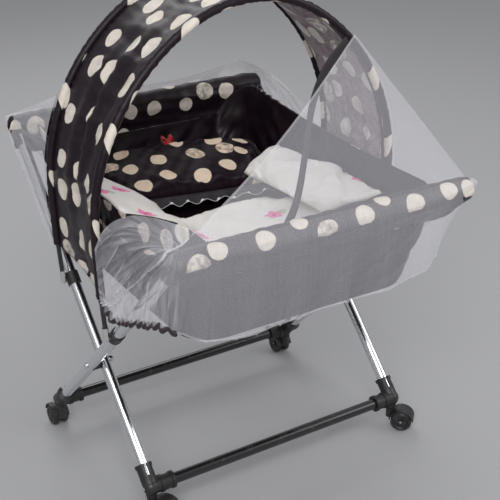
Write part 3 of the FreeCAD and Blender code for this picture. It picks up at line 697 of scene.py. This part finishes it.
pillow.data.vertices.foreach_set("co", propped(spots(pillow)).ravel())
pillow.data.update()
frill_width = 0.026
frill_round = 1.22
frill_pitch = 0.052
frill_wave = 0.0045
frill_droop = 0.012
lace_thickness = 0.0008
picot_colour = (0.72, 0.70, 0.68)
frill_colour = (0.012, 0.010, 0.012)
lace, place = new_finish("frill_lace", base_color=frill_colour, roughness=0.7)
threads = place.stretch(420, 420).noise(1, 2)
picot = place.maths("SINE", place.axis(1) * 150 + 3 * place.noise(14, 1)).rise(0.7, 1.0)
edge = (place.axis(0) - frill_width * (0.955 - 0.13 * picot)).rise(0.0, 0.0008)
ground = threads.mix(frill_colour, (0.03, 0.026, 0.03))
feed(lace, base_color=edge.mix(ground, picot_colour), normal=threads.bump(0.0008, 0.5))


def softened(values, reach, mode="edge", **ends):
    """A row of values, each the mean of those within reach; past its ends the row goes on by mode."""
    width = 2 * reach + 1
    return np.convolve(np.pad(values, reach, mode, **ends), np.ones(width) / width, "valid")


def along_points(points, count, soften=12):
    """Evenly spaced places on a line through these points, its bends softened over one part in soften."""
    steps = np.concatenate([[0], np.cumsum(np.linalg.norm(np.diff(points, axis=0), axis=1))])
    even = np.linspace(0, steps[-1], count)
    line = np.stack([np.interp(even, steps, points[:, k]) for k in range(3)], -1)
    if not soften:
        return line
    return np.stack([softened(row, count // soften, "reflect", reflect_type="odd") for row in line.T], -1)


seam = along_points(np.concatenate([seam, seam[:1]]), 641, 0)[:-1]
share = np.linspace(0, 1, 640, endpoint=False)
way = np.roll(seam, -1, 0) - np.roll(seam, 1, 0)
outward = unit(np.stack([way[:, 1], -way[:, 0], 0 * way[:, 0]], -1) * np.sign(seam[160] @ way[0]))
out = np.linspace(0, 1, 9)[:, None, None]
run = share * frill_round
wave = np.sin(run / frill_pitch * 2 * math.pi + 1.8 * crumple(run, 0, 0.20, 1, 42))
rise = wave[:, None] * frill_wave - frill_droop * out
points = propped(seam) + turned(outward * (frill_width * out), pillow_angle)
points[..., 2:] += rise * out
layout = np.zeros((len(out), len(share) + 1, 2))
layout[..., 0] = out[:, :, 0] * frill_width
layout[..., 1] = np.append(run, frill_round)
frill = cloth("pillow_frill", points, lace, loop=True, layout=layout)
thickened(frill, lace_thickness)


def ribbed(name, colour, shade, scale, relief, **constants):
    """Narrow woven goods with fine ribs in two shades."""
    material, place = new_finish(name, base_color=colour, **constants)
    ribs = place.stretch(*scale).noise(1, 2)
    feed(material, base_color=ribs.mix(colour, shade), normal=ribs.bump(*relief))
    return material


red_ribbon = ribbed("red_ribbon", (0.70, 0.012, 0.022), (0.42, 0.006, 0.012), (2600, 300), (0.0004, 0.5),
                    roughness=0.35, sheen_weight=0.2)
bow_place = np.array([0.032, 0.316, 0.624])
ribbon_thickness = 0.0006
loop_reach = 0.014
loop_swell = 0.0075
loop_width = 0.013
tail_width = 0.010
tail_spread = 0.010
tail_way = np.array((-0.012, -0.024, -0.014))
tail_curl = 0.003


def ribbon_strip(name, line, width, side, material=red_ribbon, thickness=ribbon_thickness, columns=5):
    """A flat ribbon along a line of points, with its width along side."""
    across = np.linspace(-0.5, 0.5, columns)[None, :, None] * width
    piece = cloth(name, line[:, None] + across * np.asarray(side), material)
    thickened(piece, thickness)
    return piece


turn = np.linspace(0, 2 * math.pi, 33)
loops = []
for name, sign in (("bow_loop_left", -1), ("bow_loop_right", 1)):
    reach = np.sin(turn / 2) ** 0.8 * loop_reach * sign
    swell = np.sin(turn) * loop_swell
    line = np.stack([reach, 0.003 * np.sin(turn / 2), swell + 0.004 * np.sin(turn / 2)], -1)
    loops.append(ribbon_strip(name, bow_place + line, loop_width, (0, 0.94, 0.34)))
for name, sign in (("bow_tail_left", -1), ("bow_tail_right", 1)):
    drop = np.linspace(0, 1, 12)
    line = drop[:, None] * (tail_way + np.array((sign * tail_spread, 0, 0)))
    line[:, 2] += tail_curl * np.sin(drop * 6)
    loops.append(ribbon_strip(name, bow_place + line, tail_width, (0.9, sign * 0.35, 0.2)))
knot_half = 0.0045
knot_profile = crown(0.005, 0.005, 3, 8)
knot = stuffed("bow_knot", knot_half, knot_half, 0.002, 0.0, knot_profile, bow_place, red_ribbon, 0.0, 43)
for piece in [pillow, frill, knot] + loops:
    bedded(piece, "pillow")


# The quilt: white cotton over thin wadding with scattered pink blossoms, laid over the front half of the
# bed. It climbs both side walls and opens in a V at the back; its right corner is turned over.
quilt_colour = (0.80, 0.78, 0.75)
petal_colour = (0.84, 0.20, 0.44)
leaf_colour = (0.45, 0.62, 0.42)
blossom_spacing = 0.155
petal_reach = 0.020
petal_scallop = 0.0035
leaf_length = 0.034
quilting, place = new_finish("white_quilting", base_color=quilt_colour, roughness=0.85, sheen_weight=0.1)
middle, chance = strewn(place, blossom_spacing, 0.75, "Position")
arm = place.add("VectorMath", {"operation": "SUBTRACT"}, {0: place, 1: middle})
reach = place.add("VectorMath", {"operation": "LENGTH"}, {0: arm}, 1)
bearing = place.maths("ARCTAN2", arm.axis(1), arm.axis(0))
petals = petal_reach + petal_scallop * place.maths("COSINE", 5 * bearing + 6.28 * chance)
blossom = (petals - reach).rise(0.0, 0.0025) * (chance > 0.25)
eye = 1 - reach.rise(0.003, 0.006)
leaf_reach = place.add("VectorMath", {"operation": "LENGTH"}, {0: arm.stretch(1, 2.2)}, 1)
leaf = (leaf_length - leaf_reach).rise(0.0, 0.003) * (arm.axis(0) > 0.015) * (chance > 0.6)
weave = place.stretch(900, 900).noise(1, 1)
soil = place.noise(14, 3).rise(0.4, 0.8)
ground = soil.mix(quilt_colour, (0.74, 0.71, 0.67))
shade = eye.mix(petal_colour, (0.42, 0.03, 0.12))
feed(quilting, base_color=blossom.mix(leaf.mix(ground, leaf_colour), shade))
feed(quilting, normal=(weave * 0.35 + place.noise(34, 3)).bump(0.0022, 0.35))
quilt_thickness = 0.024
quilt_front = -0.300
quilt_side = 0.258
quilt_over_wall = 0.036
quilt_gap = 0.003
quilt_edge_x = (-0.262, -0.215, -0.150, -0.130, -0.122, -0.085, 0.04, 0.14, 0.18, 0.262)
quilt_edge_y = (0.170, 0.168, 0.142, 0.105, 0.066, 0.045, 0.061, 0.060, 0.01, 0.00)
quilt_rise_x = (-0.262, -0.240, -0.20, -0.15, -0.115, -0.085, 0.0, 0.12, 0.19, 0.235, 0.262)
quilt_rise_z = (0.146, 0.122, 0.088, 0.056, 0.026, 0.005, 0.004, 0.006, 0.016, 0.050, 0.085)

u = np.linspace(-1, 1, 90)
v = np.linspace(0, 1, 56)
level_x = (u * quilt_side)[:, None]
back = np.interp(u * quilt_side, quilt_edge_x, quilt_edge_y)[:, None]
y = quilt_front + (back - quilt_front) * v
climb = np.clip((y + 0.19) / 0.10, 0, 1) ** 2
x = level_x - quilt_over_wall * climb * np.clip((-level_x - 0.18) / 0.08, 0, 1)
rise = np.interp(u * quilt_side, quilt_rise_x, quilt_rise_z)[:, None] * (0.5 + 0.5 * climb)
rise = np.apply_along_axis(softened, 0, rise, 3)
z = mattress_top + quilt_thickness / 2 + quilt_gap + rise
spine = np.stack([x, y, z], -1)
quilt = quilted("quilt_cover", spine, quilt_thickness, 51, quilting)
wadded(quilt, outline_of(spine), swell=0.005, pressure=1.5, spare=0.03)

flap_thickness = 0.030
flap_puff = 0.022
flap_corners = np.array([[[0.152, -0.155, 0.586], [0.127, 0.124, 0.588]],
                         [[0.258, -0.228, 0.632], [0.258, 0.182, 0.612]]])
s = np.linspace(0, 1, 40)[:, None, None]
t = np.linspace(0, 1, 40)[None, :, None]
spine = (flap_corners[0, 0] * (1 - s) * (1 - t) + flap_corners[0, 1] * (1 - s) * t
         + flap_corners[1, 0] * s * (1 - t) + flap_corners[1, 1] * s * t)
spine = spine + np.array([-0.3, 0, 0.8]) * (np.sin(s * math.pi) * np.sin(t * math.pi) * flap_puff)
flap = quilted("quilt_flap", spine, flap_thickness, 53, quilting)
wadded(flap, outline_of(spine), swell=0.006, pressure=1.5, spare=0.04)
for piece in (quilt, flap):
    bedded(piece, "quilt")


# The hood band: one strip of dotted satin over both bows, lined in grey lightened by painted light, with a
# sleeve sewn along each edge that the bow runs through. It hangs in a little between the bows.
bow_half = 0.3518
bow_plane = 0.140
bow_shift = 0.0145
shoulder_z = 0.6542
crown_z = 1.0592
bow_bulge = 0.010
shoulder_rise = 0.232
crown_radius = 0.8 * bow_half
band_bottom = 0.508
sleeve_bore = 0.0090
binding_width = 0.024
seam_y = bow_plane - sleeve_bore
band_half = bow_plane - 0.6 * sleeve_bore
lining_gap = 0.0025
hood_spacing = 0.086
band_set = 0.002
band_droop = 0.008
cross_fold = 0.004
long_fold = 0.0055
fine_fold = 0.0014
seam_reach = 0.02
seam_gather = 0.0011
casing_gather = 0.0008


def bow_line(bottom, count):
    """Places and outward directions along a bow's outline, from the left foot over the crown."""
    low_radius = (shoulder_rise ** 2 + bow_bulge ** 2) / (2 * bow_bulge)
    drop = crown_z - shoulder_z - crown_radius
    side_radius = (bow_half ** 2 + drop ** 2 - crown_radius ** 2) / (2 * (bow_half - crown_radius))
    turn = math.atan2(drop, side_radius - bow_half)
    low = np.linspace(math.asin((bottom - shoulder_z) / low_radius), 0, 60)
    side = np.linspace(0, turn, 120)[1:]
    top = np.linspace(turn, math.pi / 2, 120)[1:]
    x = np.concatenate([bow_half - low_radius + low_radius * np.cos(low),
                        bow_half - side_radius + side_radius * np.cos(side), crown_radius * np.cos(top)])
    z = np.concatenate([shoulder_z + low_radius * np.sin(low), shoulder_z + side_radius * np.sin(side),
                        crown_z - crown_radius + crown_radius * np.sin(top)])
    x = np.concatenate([-x, x[-2::-1]])
    z = np.concatenate([z, z[-2::-1]])
    run = np.concatenate([[0], np.cumsum(np.hypot(np.diff(x), np.diff(z)))])
    even = np.linspace(0, run[-1], count)
    x = np.interp(even, run, x)
    z = np.interp(even, run, z)
    way = unit(np.stack([np.gradient(x), np.gradient(z)], -1))
    return x, z, -way[:, 1], way[:, 0], even


def paint(piece, choice):
    """Gives each face of a piece one of its materials, by number."""
    piece.data.polygons.foreach_set("material_index", np.ravel(choice).astype(np.int32))


x, z, out_x, out_z, run = bow_line(band_bottom, 220)
band_y = np.linspace(-band_half, band_half, 33)
droop = -band_set - band_droop * (1 - (band_y / band_half) ** 2)
section_y = np.concatenate([band_y, band_y[::-1]])
section_n = np.concatenate([droop, droop[::-1] - lining_gap])
free = np.clip(1 - (section_y / seam_y) ** 2, 0, 1)
folds = crumple(run[:, None], section_y, 0.10, 0.5, 61) * cross_fold * free
folds = folds + crumple(run[:, None], section_y, 0.9, 0.085, 66) * long_fold * free
folds = folds + crumple(run[:, None], section_y, 0.035, 0.16, 62) * fine_fold * (0.25 + free)
by_seam = np.exp(-((np.abs(section_y) - seam_y) / seam_reach) ** 2)
gather = crumple(run[:, None], section_y, 0.016, 0.3, 63) * seam_gather * by_seam
lift = section_n + folds + gather
lift[[0, -1]] = np.concatenate([droop, droop[::-1]]) - lining_gap / 2
points = np.stack([x[:, None] + out_x[:, None] * lift + bow_shift * section_y / bow_plane,
                   np.repeat(section_y[None], len(x), 0), z[:, None] + out_z[:, None] * lift], -1)
dotted = dotted_satin("dotted_satin", satin_colour, cream_colour, spacing=hood_spacing)
# The lining's grey and its dots are much lighter than the cloth's own grey. This is painted light that
# stands in for light shining through the thin satin into the shaded inside of the hood.
glow_painted_lining = dotted_satin("grey_lining_painted_glow", (0.25, 0.205, 0.23), (0.82, 0.79, 0.77), spacing=hood_spacing)
hood = cloth("hood_cover", points, dotted, loop=True, backing=glow_painted_lining)
hood.data.materials.append(black_satin)
inside = np.arange(len(section_y)) >= len(band_y) - 1
from_edge = bow_plane - np.abs(section_y + np.roll(section_y, -1)) / 2
shade = np.where(inside & (from_edge < binding_width), 2, inside)
paint(hood, np.tile(shade, len(x) - 1))
weld(hood)
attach(hood, "bow_rear")
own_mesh(hood)


def bow_casing(end, seed):
    """The casing along one edge of the band, a little gathered on its bow."""
    way = np.linspace(0, 2 * math.pi, 24, endpoint=False)
    radius = sleeve_bore + crumple(run[:, None], way * sleeve_bore, 0.016, 0.3, seed) * casing_gather
    radius[[0, -1]] = sleeve_bore * 0.05
    points = np.stack([x[:, None] + out_x[:, None] * radius * np.sin(way) + turns[end] * bow_shift,
                       turns[end] * bow_plane + radius * np.cos(way),
                       z[:, None] + out_z[:, None] * radius * np.sin(way)], -1)
    piece = cloth(end + "_bow_casing", points, dotted, loop=True)
    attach(piece, "bow_" + end)
    return piece


casings = [bow_casing("rear", 64), bow_casing("front", 65)]
for piece in [hood] + casings:
    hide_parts("hood_band")


# The nets: sheer white knitted net. Each is drawn from a peak on its bow straight to the rail and from one
# leg of the bow to the near corner, with a skirt over the rail. They lie half a turn apart.
net_colour = (0.84, 0.83, 0.88)
net_start = 0.1515
net_rim_y = rail_y + 0.012
net_rim_z = rail_z + 0.0285
net_half = 0.337
net_tuck = 0.006
net_hem = 0.005
net_gap = 0.0008
net_corner_drop = 0.046
net_corner_round = 0.020
net_peak_width = 0.012
free_edge_foot = 0.304
free_edge_lift = 0.034
free_edge_sag = 0.024
front_peak_share = 0.675
rear_peak_share = 0.887
side_columns = 60
front_columns = 80
side_sag = 0.007
front_sag = 0.016
over_share = 0.16
skirt_fold = 0.006
skirt_crease = 0.005
skirt_stand = 0.0155
skirt_spread = 0.0045
skirt_draw = 0.012
skirt_wave = 0.003
net_ripple = 0.001
hem_x = (-0.345, -0.300, -0.268, -0.238, -0.146, 0.023, 0.200, 0.295, 0.345)
hem_z = (0.700, 0.684, 0.615, 0.558, 0.532, 0.536, 0.525, 0.544, 0.590)


def net_finish(name, cover, streak, fold_scale, crease=0.0, run_scale=7):
    """Sheer net: an even grain of see-through holes, denser along the pull of the threads and where a
    crease lays it double."""
    material, place = new_finish(name, base_color=net_colour, roughness=0.8, sheen_weight=0.2)
    pull = place.stretch(run_scale, fold_scale).noise(1, 2)
    holes = place.stretch(650, 650).noise(1, 1)
    alpha = cover + streak * (pull - 0.5) + 0.12 * (holes - 0.5)
    if crease:
        line = 1 - place.maths("ABSOLUTE", pull - 0.5).rise(0.0, 0.07)
        alpha = alpha + crease * line * place.noise(9, 1).rise(0.36, 0.66)
    feed(material, alpha=alpha, normal=holes.bump(0.0005, 0.4))
    return material


taut_net = net_finish("taut_net", 0.23, 0.05, 220)
hung_net = net_finish("hung_net", 0.27, 0.025, 120)
bunched_net = net_finish("bunched_net", 0.40, 0.30, 60)


def hemmed(points, axis, offset):
    """The last edge of a net turned back behind itself, as a narrow hem."""
    edge = points.take([-1], axis)
    back = edge + np.array(offset)
    return np.concatenate([points, back, back + unit(points.take([-2], axis) - edge) * net_hem], axis)


def rim_line(x):
    """The height of the net's line over the rail: it stands up where the free edge ends."""
    climb = np.clip((x - 0.10) / (free_edge_foot - 0.10), 0, 1) ** 3
    fall = np.clip((bow_shift + net_half - x) / (bow_shift + net_half - free_edge_foot), 0, 1)
    return net_rim_z + free_edge_lift * climb * fall


def rim_tuck(x):
    """How far the net lies in at the rail's closed corner, where the sleeve's end is rounded."""
    return net_tuck * (1 - np.sin(np.clip((x - bow_shift + net_half) / 0.05, 0, 1) * math.pi / 2))


def net_tent(end, peak_share, seed, side_net):
    """Two taut panels that meet in a ridge from the peak on the bow to the rail's corner."""
    x, z, out_x, out_z, run = bow_line(band_bottom, 400)
    widest = np.argmin(x)
    peak = np.interp(-peak_share * bow_half, x[widest:200], run[widest:200])
    s = np.concatenate([np.linspace(0, peak, side_columns),
                        np.linspace(peak, peak + net_peak_width, front_columns)[1:]])
    lift = sleeve_bore + net_gap
    near = np.stack([np.interp(s, run, x + out_x * lift) + bow_shift, np.full_like(s, net_start),
                     np.interp(s, run, z + out_z * lift)], -1)
    bend = np.linspace(0, math.pi / 2, side_columns)
    corner_x = bow_shift - net_half + net_corner_round * (1 - np.cos(bend))
    corner_z = net_rim_z - net_corner_drop * (1 - np.sin(bend))
    far_x = np.concatenate([corner_x, np.linspace(corner_x[-1], free_edge_foot, front_columns)[1:]])
    far_z = np.concatenate([corner_z, rim_line(far_x[side_columns:])])
    far = np.stack([far_x, net_rim_y - rim_tuck(far_x), far_z - rim_tuck(far_x)], -1)
    v = np.linspace(0, 1, 60)[:, None]
    points = near[None] * (1 - v[..., None]) + far[None] * v[..., None]
    ridge = side_columns - 1
    side = np.clip(np.arange(len(s)) / ridge, 0, 1)
    front = np.clip((np.arange(len(s)) - ridge) / (front_columns - 1), 0, 1)
    slack = side_sag * np.sin(side * math.pi) + front_sag * front * (1 - front)
    slack = slack + free_edge_sag * front ** 1.5
    points[..., 2] -= np.sin(math.pi * v) * slack
    across = side * 0.4 + front * 0.6
    ripple = crumple(across, v, 0.05, 0.9, seed) * np.sin(math.pi * v) * net_ripple
    points = hemmed(pushed(points, ripple), 1, (0, 0, -net_gap))
    piece = cloth(end + "_net_tent", half_turn(points, end), taut_net, backing=side_net)
    on_side = np.arange(points.shape[1] - 1) < ridge
    paint(piece, np.tile(on_side, len(v) - 1))
    return piece


def skirt_points(seed):
    """Hangs over the rail in a few soft folds; the hem is drawn up at both corners."""
    x = np.linspace(bow_shift - net_half, bow_shift + net_half, 240)
    v = np.linspace(0, 1, 50)[:, None]
    hem = softened(np.interp(x - bow_shift, hem_x, hem_z), 9)
    over = np.clip(v / over_share, 0, 1)
    loose = np.clip((v - over_share) / (1 - over_share), 0, 1)
    fold = crumple(x, 0.1 * v, 0.13, 1.0, seed)
    crease = np.exp(-((crumple(x, 0.05 * v, 0.10, 0.6, seed + 1) - 0.3) / 0.10) ** 2)
    stand = skirt_stand + skirt_spread * np.clip((x + net_half - bow_shift) / 0.08, 0, 1)
    y = net_rim_y - rim_tuck(x) + stand * np.sin(over * math.pi / 2) - skirt_draw * loose ** 2
    y = y + loose ** 1.5 * (skirt_fold * fold + skirt_crease * crease)
    rim = rim_line(x) - rim_tuck(x)
    z = rim + (hem - rim) * v + skirt_wave * loose * fold
    return np.stack([x + 0 * v, y, z], -1)


def hang(piece, end):
    """Fixes a piece of net where it lies and hides the CAD net it replaces."""
    "bow_" + end
    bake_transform(piece)
    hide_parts(end + "_net")


skirt_folds = {}
for end, peak_share, seed, side_net, flat, area in (
        ("rear", rear_peak_share, 71, bunched_net, (0.72, 0.45), 0.19),
        ("front", front_peak_share, 75, taut_net, (0.75, 0.55), 0.22)):
    tent = net_tent(end, peak_share, seed, side_net)
    skirt_folds[end] = skirt_points(seed + 2)
    points = hemmed(skirt_folds[end], 0, (0, -net_gap, 0))
    skirt = cloth(end + "_net_skirt", half_turn(points, end), hung_net)
    hang(tent, end)
    hang(skirt, end)
    end + "_bow"
    end + "_rim_sleeve"
    end + "_rim_sleeve"


# The gathered corners: where each net has been let go, it hangs in a slack bunch between the rail's end
# and the bow's other leg, in folds from the corner. The tent's free edge goes on over it as a drawn rope
# of net, and a puckered dark elastic runs along its hem.
gather_hem = np.array([(0.368, 0.405, 0.584), (0.373, 0.314, 0.547), (0.374, 0.228, 0.512),
                       (0.3715, 0.1535, 0.516)])
gather_top = np.array([(0.343, 0.378, 0.770), (0.354, 0.289, 0.748), (0.362, 0.225, 0.714),
                       (0.369, 0.180, 0.676), (0.3755, 0.1535, 0.630)])
top_share = np.array((0.8, 1, 0.7, 0.3, 0))[:, None] * np.array((0, 0, 1))
rear_slump = 0.040
gather_bulge = 0.007
fold_corner = 0.18
lobe_length = 0.022
lobe_drop = 0.006
lobe_height = 0.0045
gather_fold = 0.011
small_fold = 0.005
rope_reach = 0.95
rope_bend = 0.42
rope_half = 0.0065
rope_height = 0.006
gathered_net = net_finish("gathered_net", 0.28, 0.30, 20, 0.17, 2.2)
drawn_net = net_finish("drawn_net", 0.58, 0.30, 40)
elastic = ribbed("dark_elastic", (0.009, 0.005, 0.008), (0.032, 0.020, 0.029), (160, 160), (0.0012, 0.6),
                 roughness=0.65, sheen_weight=0.1)
hem_width = 0.011
hem_half = 0.0042
pucker_pitch = 0.021
hem_length = 0.29


def puckered_hem(name, line, seed):
    """A narrow elastic casing along a hem line, drawn into small puckers."""
    line = along_points(line, 260, 60)
    run = np.linspace(0, np.sum(np.linalg.norm(np.diff(line, axis=0), axis=1)), 260)
    side = unit(np.cross(np.gradient(line, axis=0), (0, 0, 1)))
    turn = np.linspace(0, 2 * math.pi, 12, endpoint=False)
    pucker = 1 + 0.22 * np.sin(run / pucker_pitch * 2 * math.pi + 2 * crumple(run, 0, 0.09, 1, seed))
    points = line[:, None] + side[:, None] * (np.cos(turn) * hem_half)[None, :, None] * pucker[:, None, None]
    points[..., 2] += np.sin(turn)[None] * hem_width / 2 * pucker[:, None]
    return cloth(name, points, elastic, loop=True)


def net_gather(end, slump, seed):
    """Fills the gap between the skirt's edge, the free corner on the rail and the bow's leg."""
    skirt = skirt_folds[end]
    u = np.linspace(0, 1, 130)[:, None, None]
    v = np.linspace(0, 1, 110)[None, :, None]
    over_rail = skirt[0, skirt[0, :, 0] > free_edge_foot]
    rail = along_points(np.vstack([over_rail, skirt[1:, -1]]), 110, 0)[None]
    top = along_points(np.vstack([over_rail[:1], gather_top - slump * top_share]), 130)[:, None]
    low = along_points(np.vstack([skirt[-1:, -1], gather_hem]), 130)[:, None]
    leg = top[-1:] * (1 - v) + low[-1:] * v
    points = top * (1 - v) + low * v + rail * (1 - u) + leg * u
    points -= (rail[:, :1] * (1 - v) + rail[:, -1:] * v) * (1 - u)
    points -= (leg[:, :1] * (1 - v) + leg[:, -1:] * v) * u
    u = u[..., 0]
    v = v[..., 0]
    bearing = np.arctan2(v - fold_corner, 1.2 * u + 0.03)
    reach = np.hypot(1.2 * u, v - fold_corner)
    ridge = np.exp(-(crumple(bearing + 0.10 * np.sin(5 * reach), 0, 0.60, 1, seed) / 0.22) ** 2)
    small = np.exp(-(crumple(bearing, 0.3 * reach, 0.32, 1, seed + 1) / 0.22) ** 2)
    held = np.clip(u * 12, 0, 1) * np.clip((1 - u) * 6, 0, 1) * np.clip(v * 6, 0, 1) * (1 - 0.75 * v ** 5)
    belly = np.sin(math.pi * u) * np.sin(math.pi * np.clip(v * 0.9 + 0.1, 0, 1)) ** 0.7
    folds = (gather_fold * ridge + small_fold * small) * held * np.clip(reach * 2.2, 0, 1)
    out = gather_bulge * belly + folds
    hem_run = hem_length * u
    uneven = 1.6 * crumple(hem_run, 0, 0.12, 1, seed + 3)
    lobe = np.sin(hem_run / lobe_length * 2 * math.pi + uneven)
    loose = np.clip(u * 12, 0, 1) * np.clip((1 - u) * 12, 0, 1)
    out = out + lobe_height * lobe * loose * np.clip((v - 0.4) / 0.6, 0, 1) ** 1.5
    path = rope_reach * u ** rope_bend
    drawn = np.abs(v - path) / np.hypot(1, rope_bend * path / np.maximum(u, 0.004))
    out = out + rope_height * np.exp(-(drawn / rope_half) ** 2) * loose
    points[..., 2] -= lobe_drop * (0.5 + 0.5 * lobe) * loose * v ** 8
    points[..., 0] += out
    points[..., 1] += 0.5 * out * (1 - u)
    layout = np.stack([reach * 0.3, bearing * 0.3], -1)
    piece = cloth(end + "_net_gather", half_turn(points, end), gathered_net, False, drawn_net, layout)
    paint(piece, drawn[1:, 1:] < rope_half)
    elastic_hem = puckered_hem(end + "_gather_hem", half_turn(points[:, -1], end), seed + 2)
    for part in (piece, elastic_hem):
        hang(part, end)


net_gather("front", 0, 81)
net_gather("rear", rear_slump, 85)


# The stay tape: a dark woven tape, sewn on at the front net's peak and tied to the front rail. It hangs
# slack below the net.
tape_width = 0.022
tape_thickness = 0.0009
tape_face = (0.5, -0.85, 0.3)
tape_places = np.array([(0.204, -0.154, 0.950), (0.140, -0.176, 0.916), (0.092, -0.206, 0.880),
                        (0.061, -0.232, 0.848), (0.011, -0.290, 0.796), (-0.039, -0.345, 0.746),
                        (-0.078, -0.381, 0.716), (-0.100, -0.384, 0.690)])
line = along_points(tape_places, 70)
side = unit(np.cross(np.gradient(line, axis=0), tape_face))
woven = ribbed("woven_tape", (0.008, 0.006, 0.008), (0.028, 0.022, 0.027), (900, 900), (0.0006, 0.5),
               roughness=0.6)
tape = ribbon_strip("stay_tape", line, tape_width, side[:, None], woven, tape_thickness, 7)
hang(tape, "front")
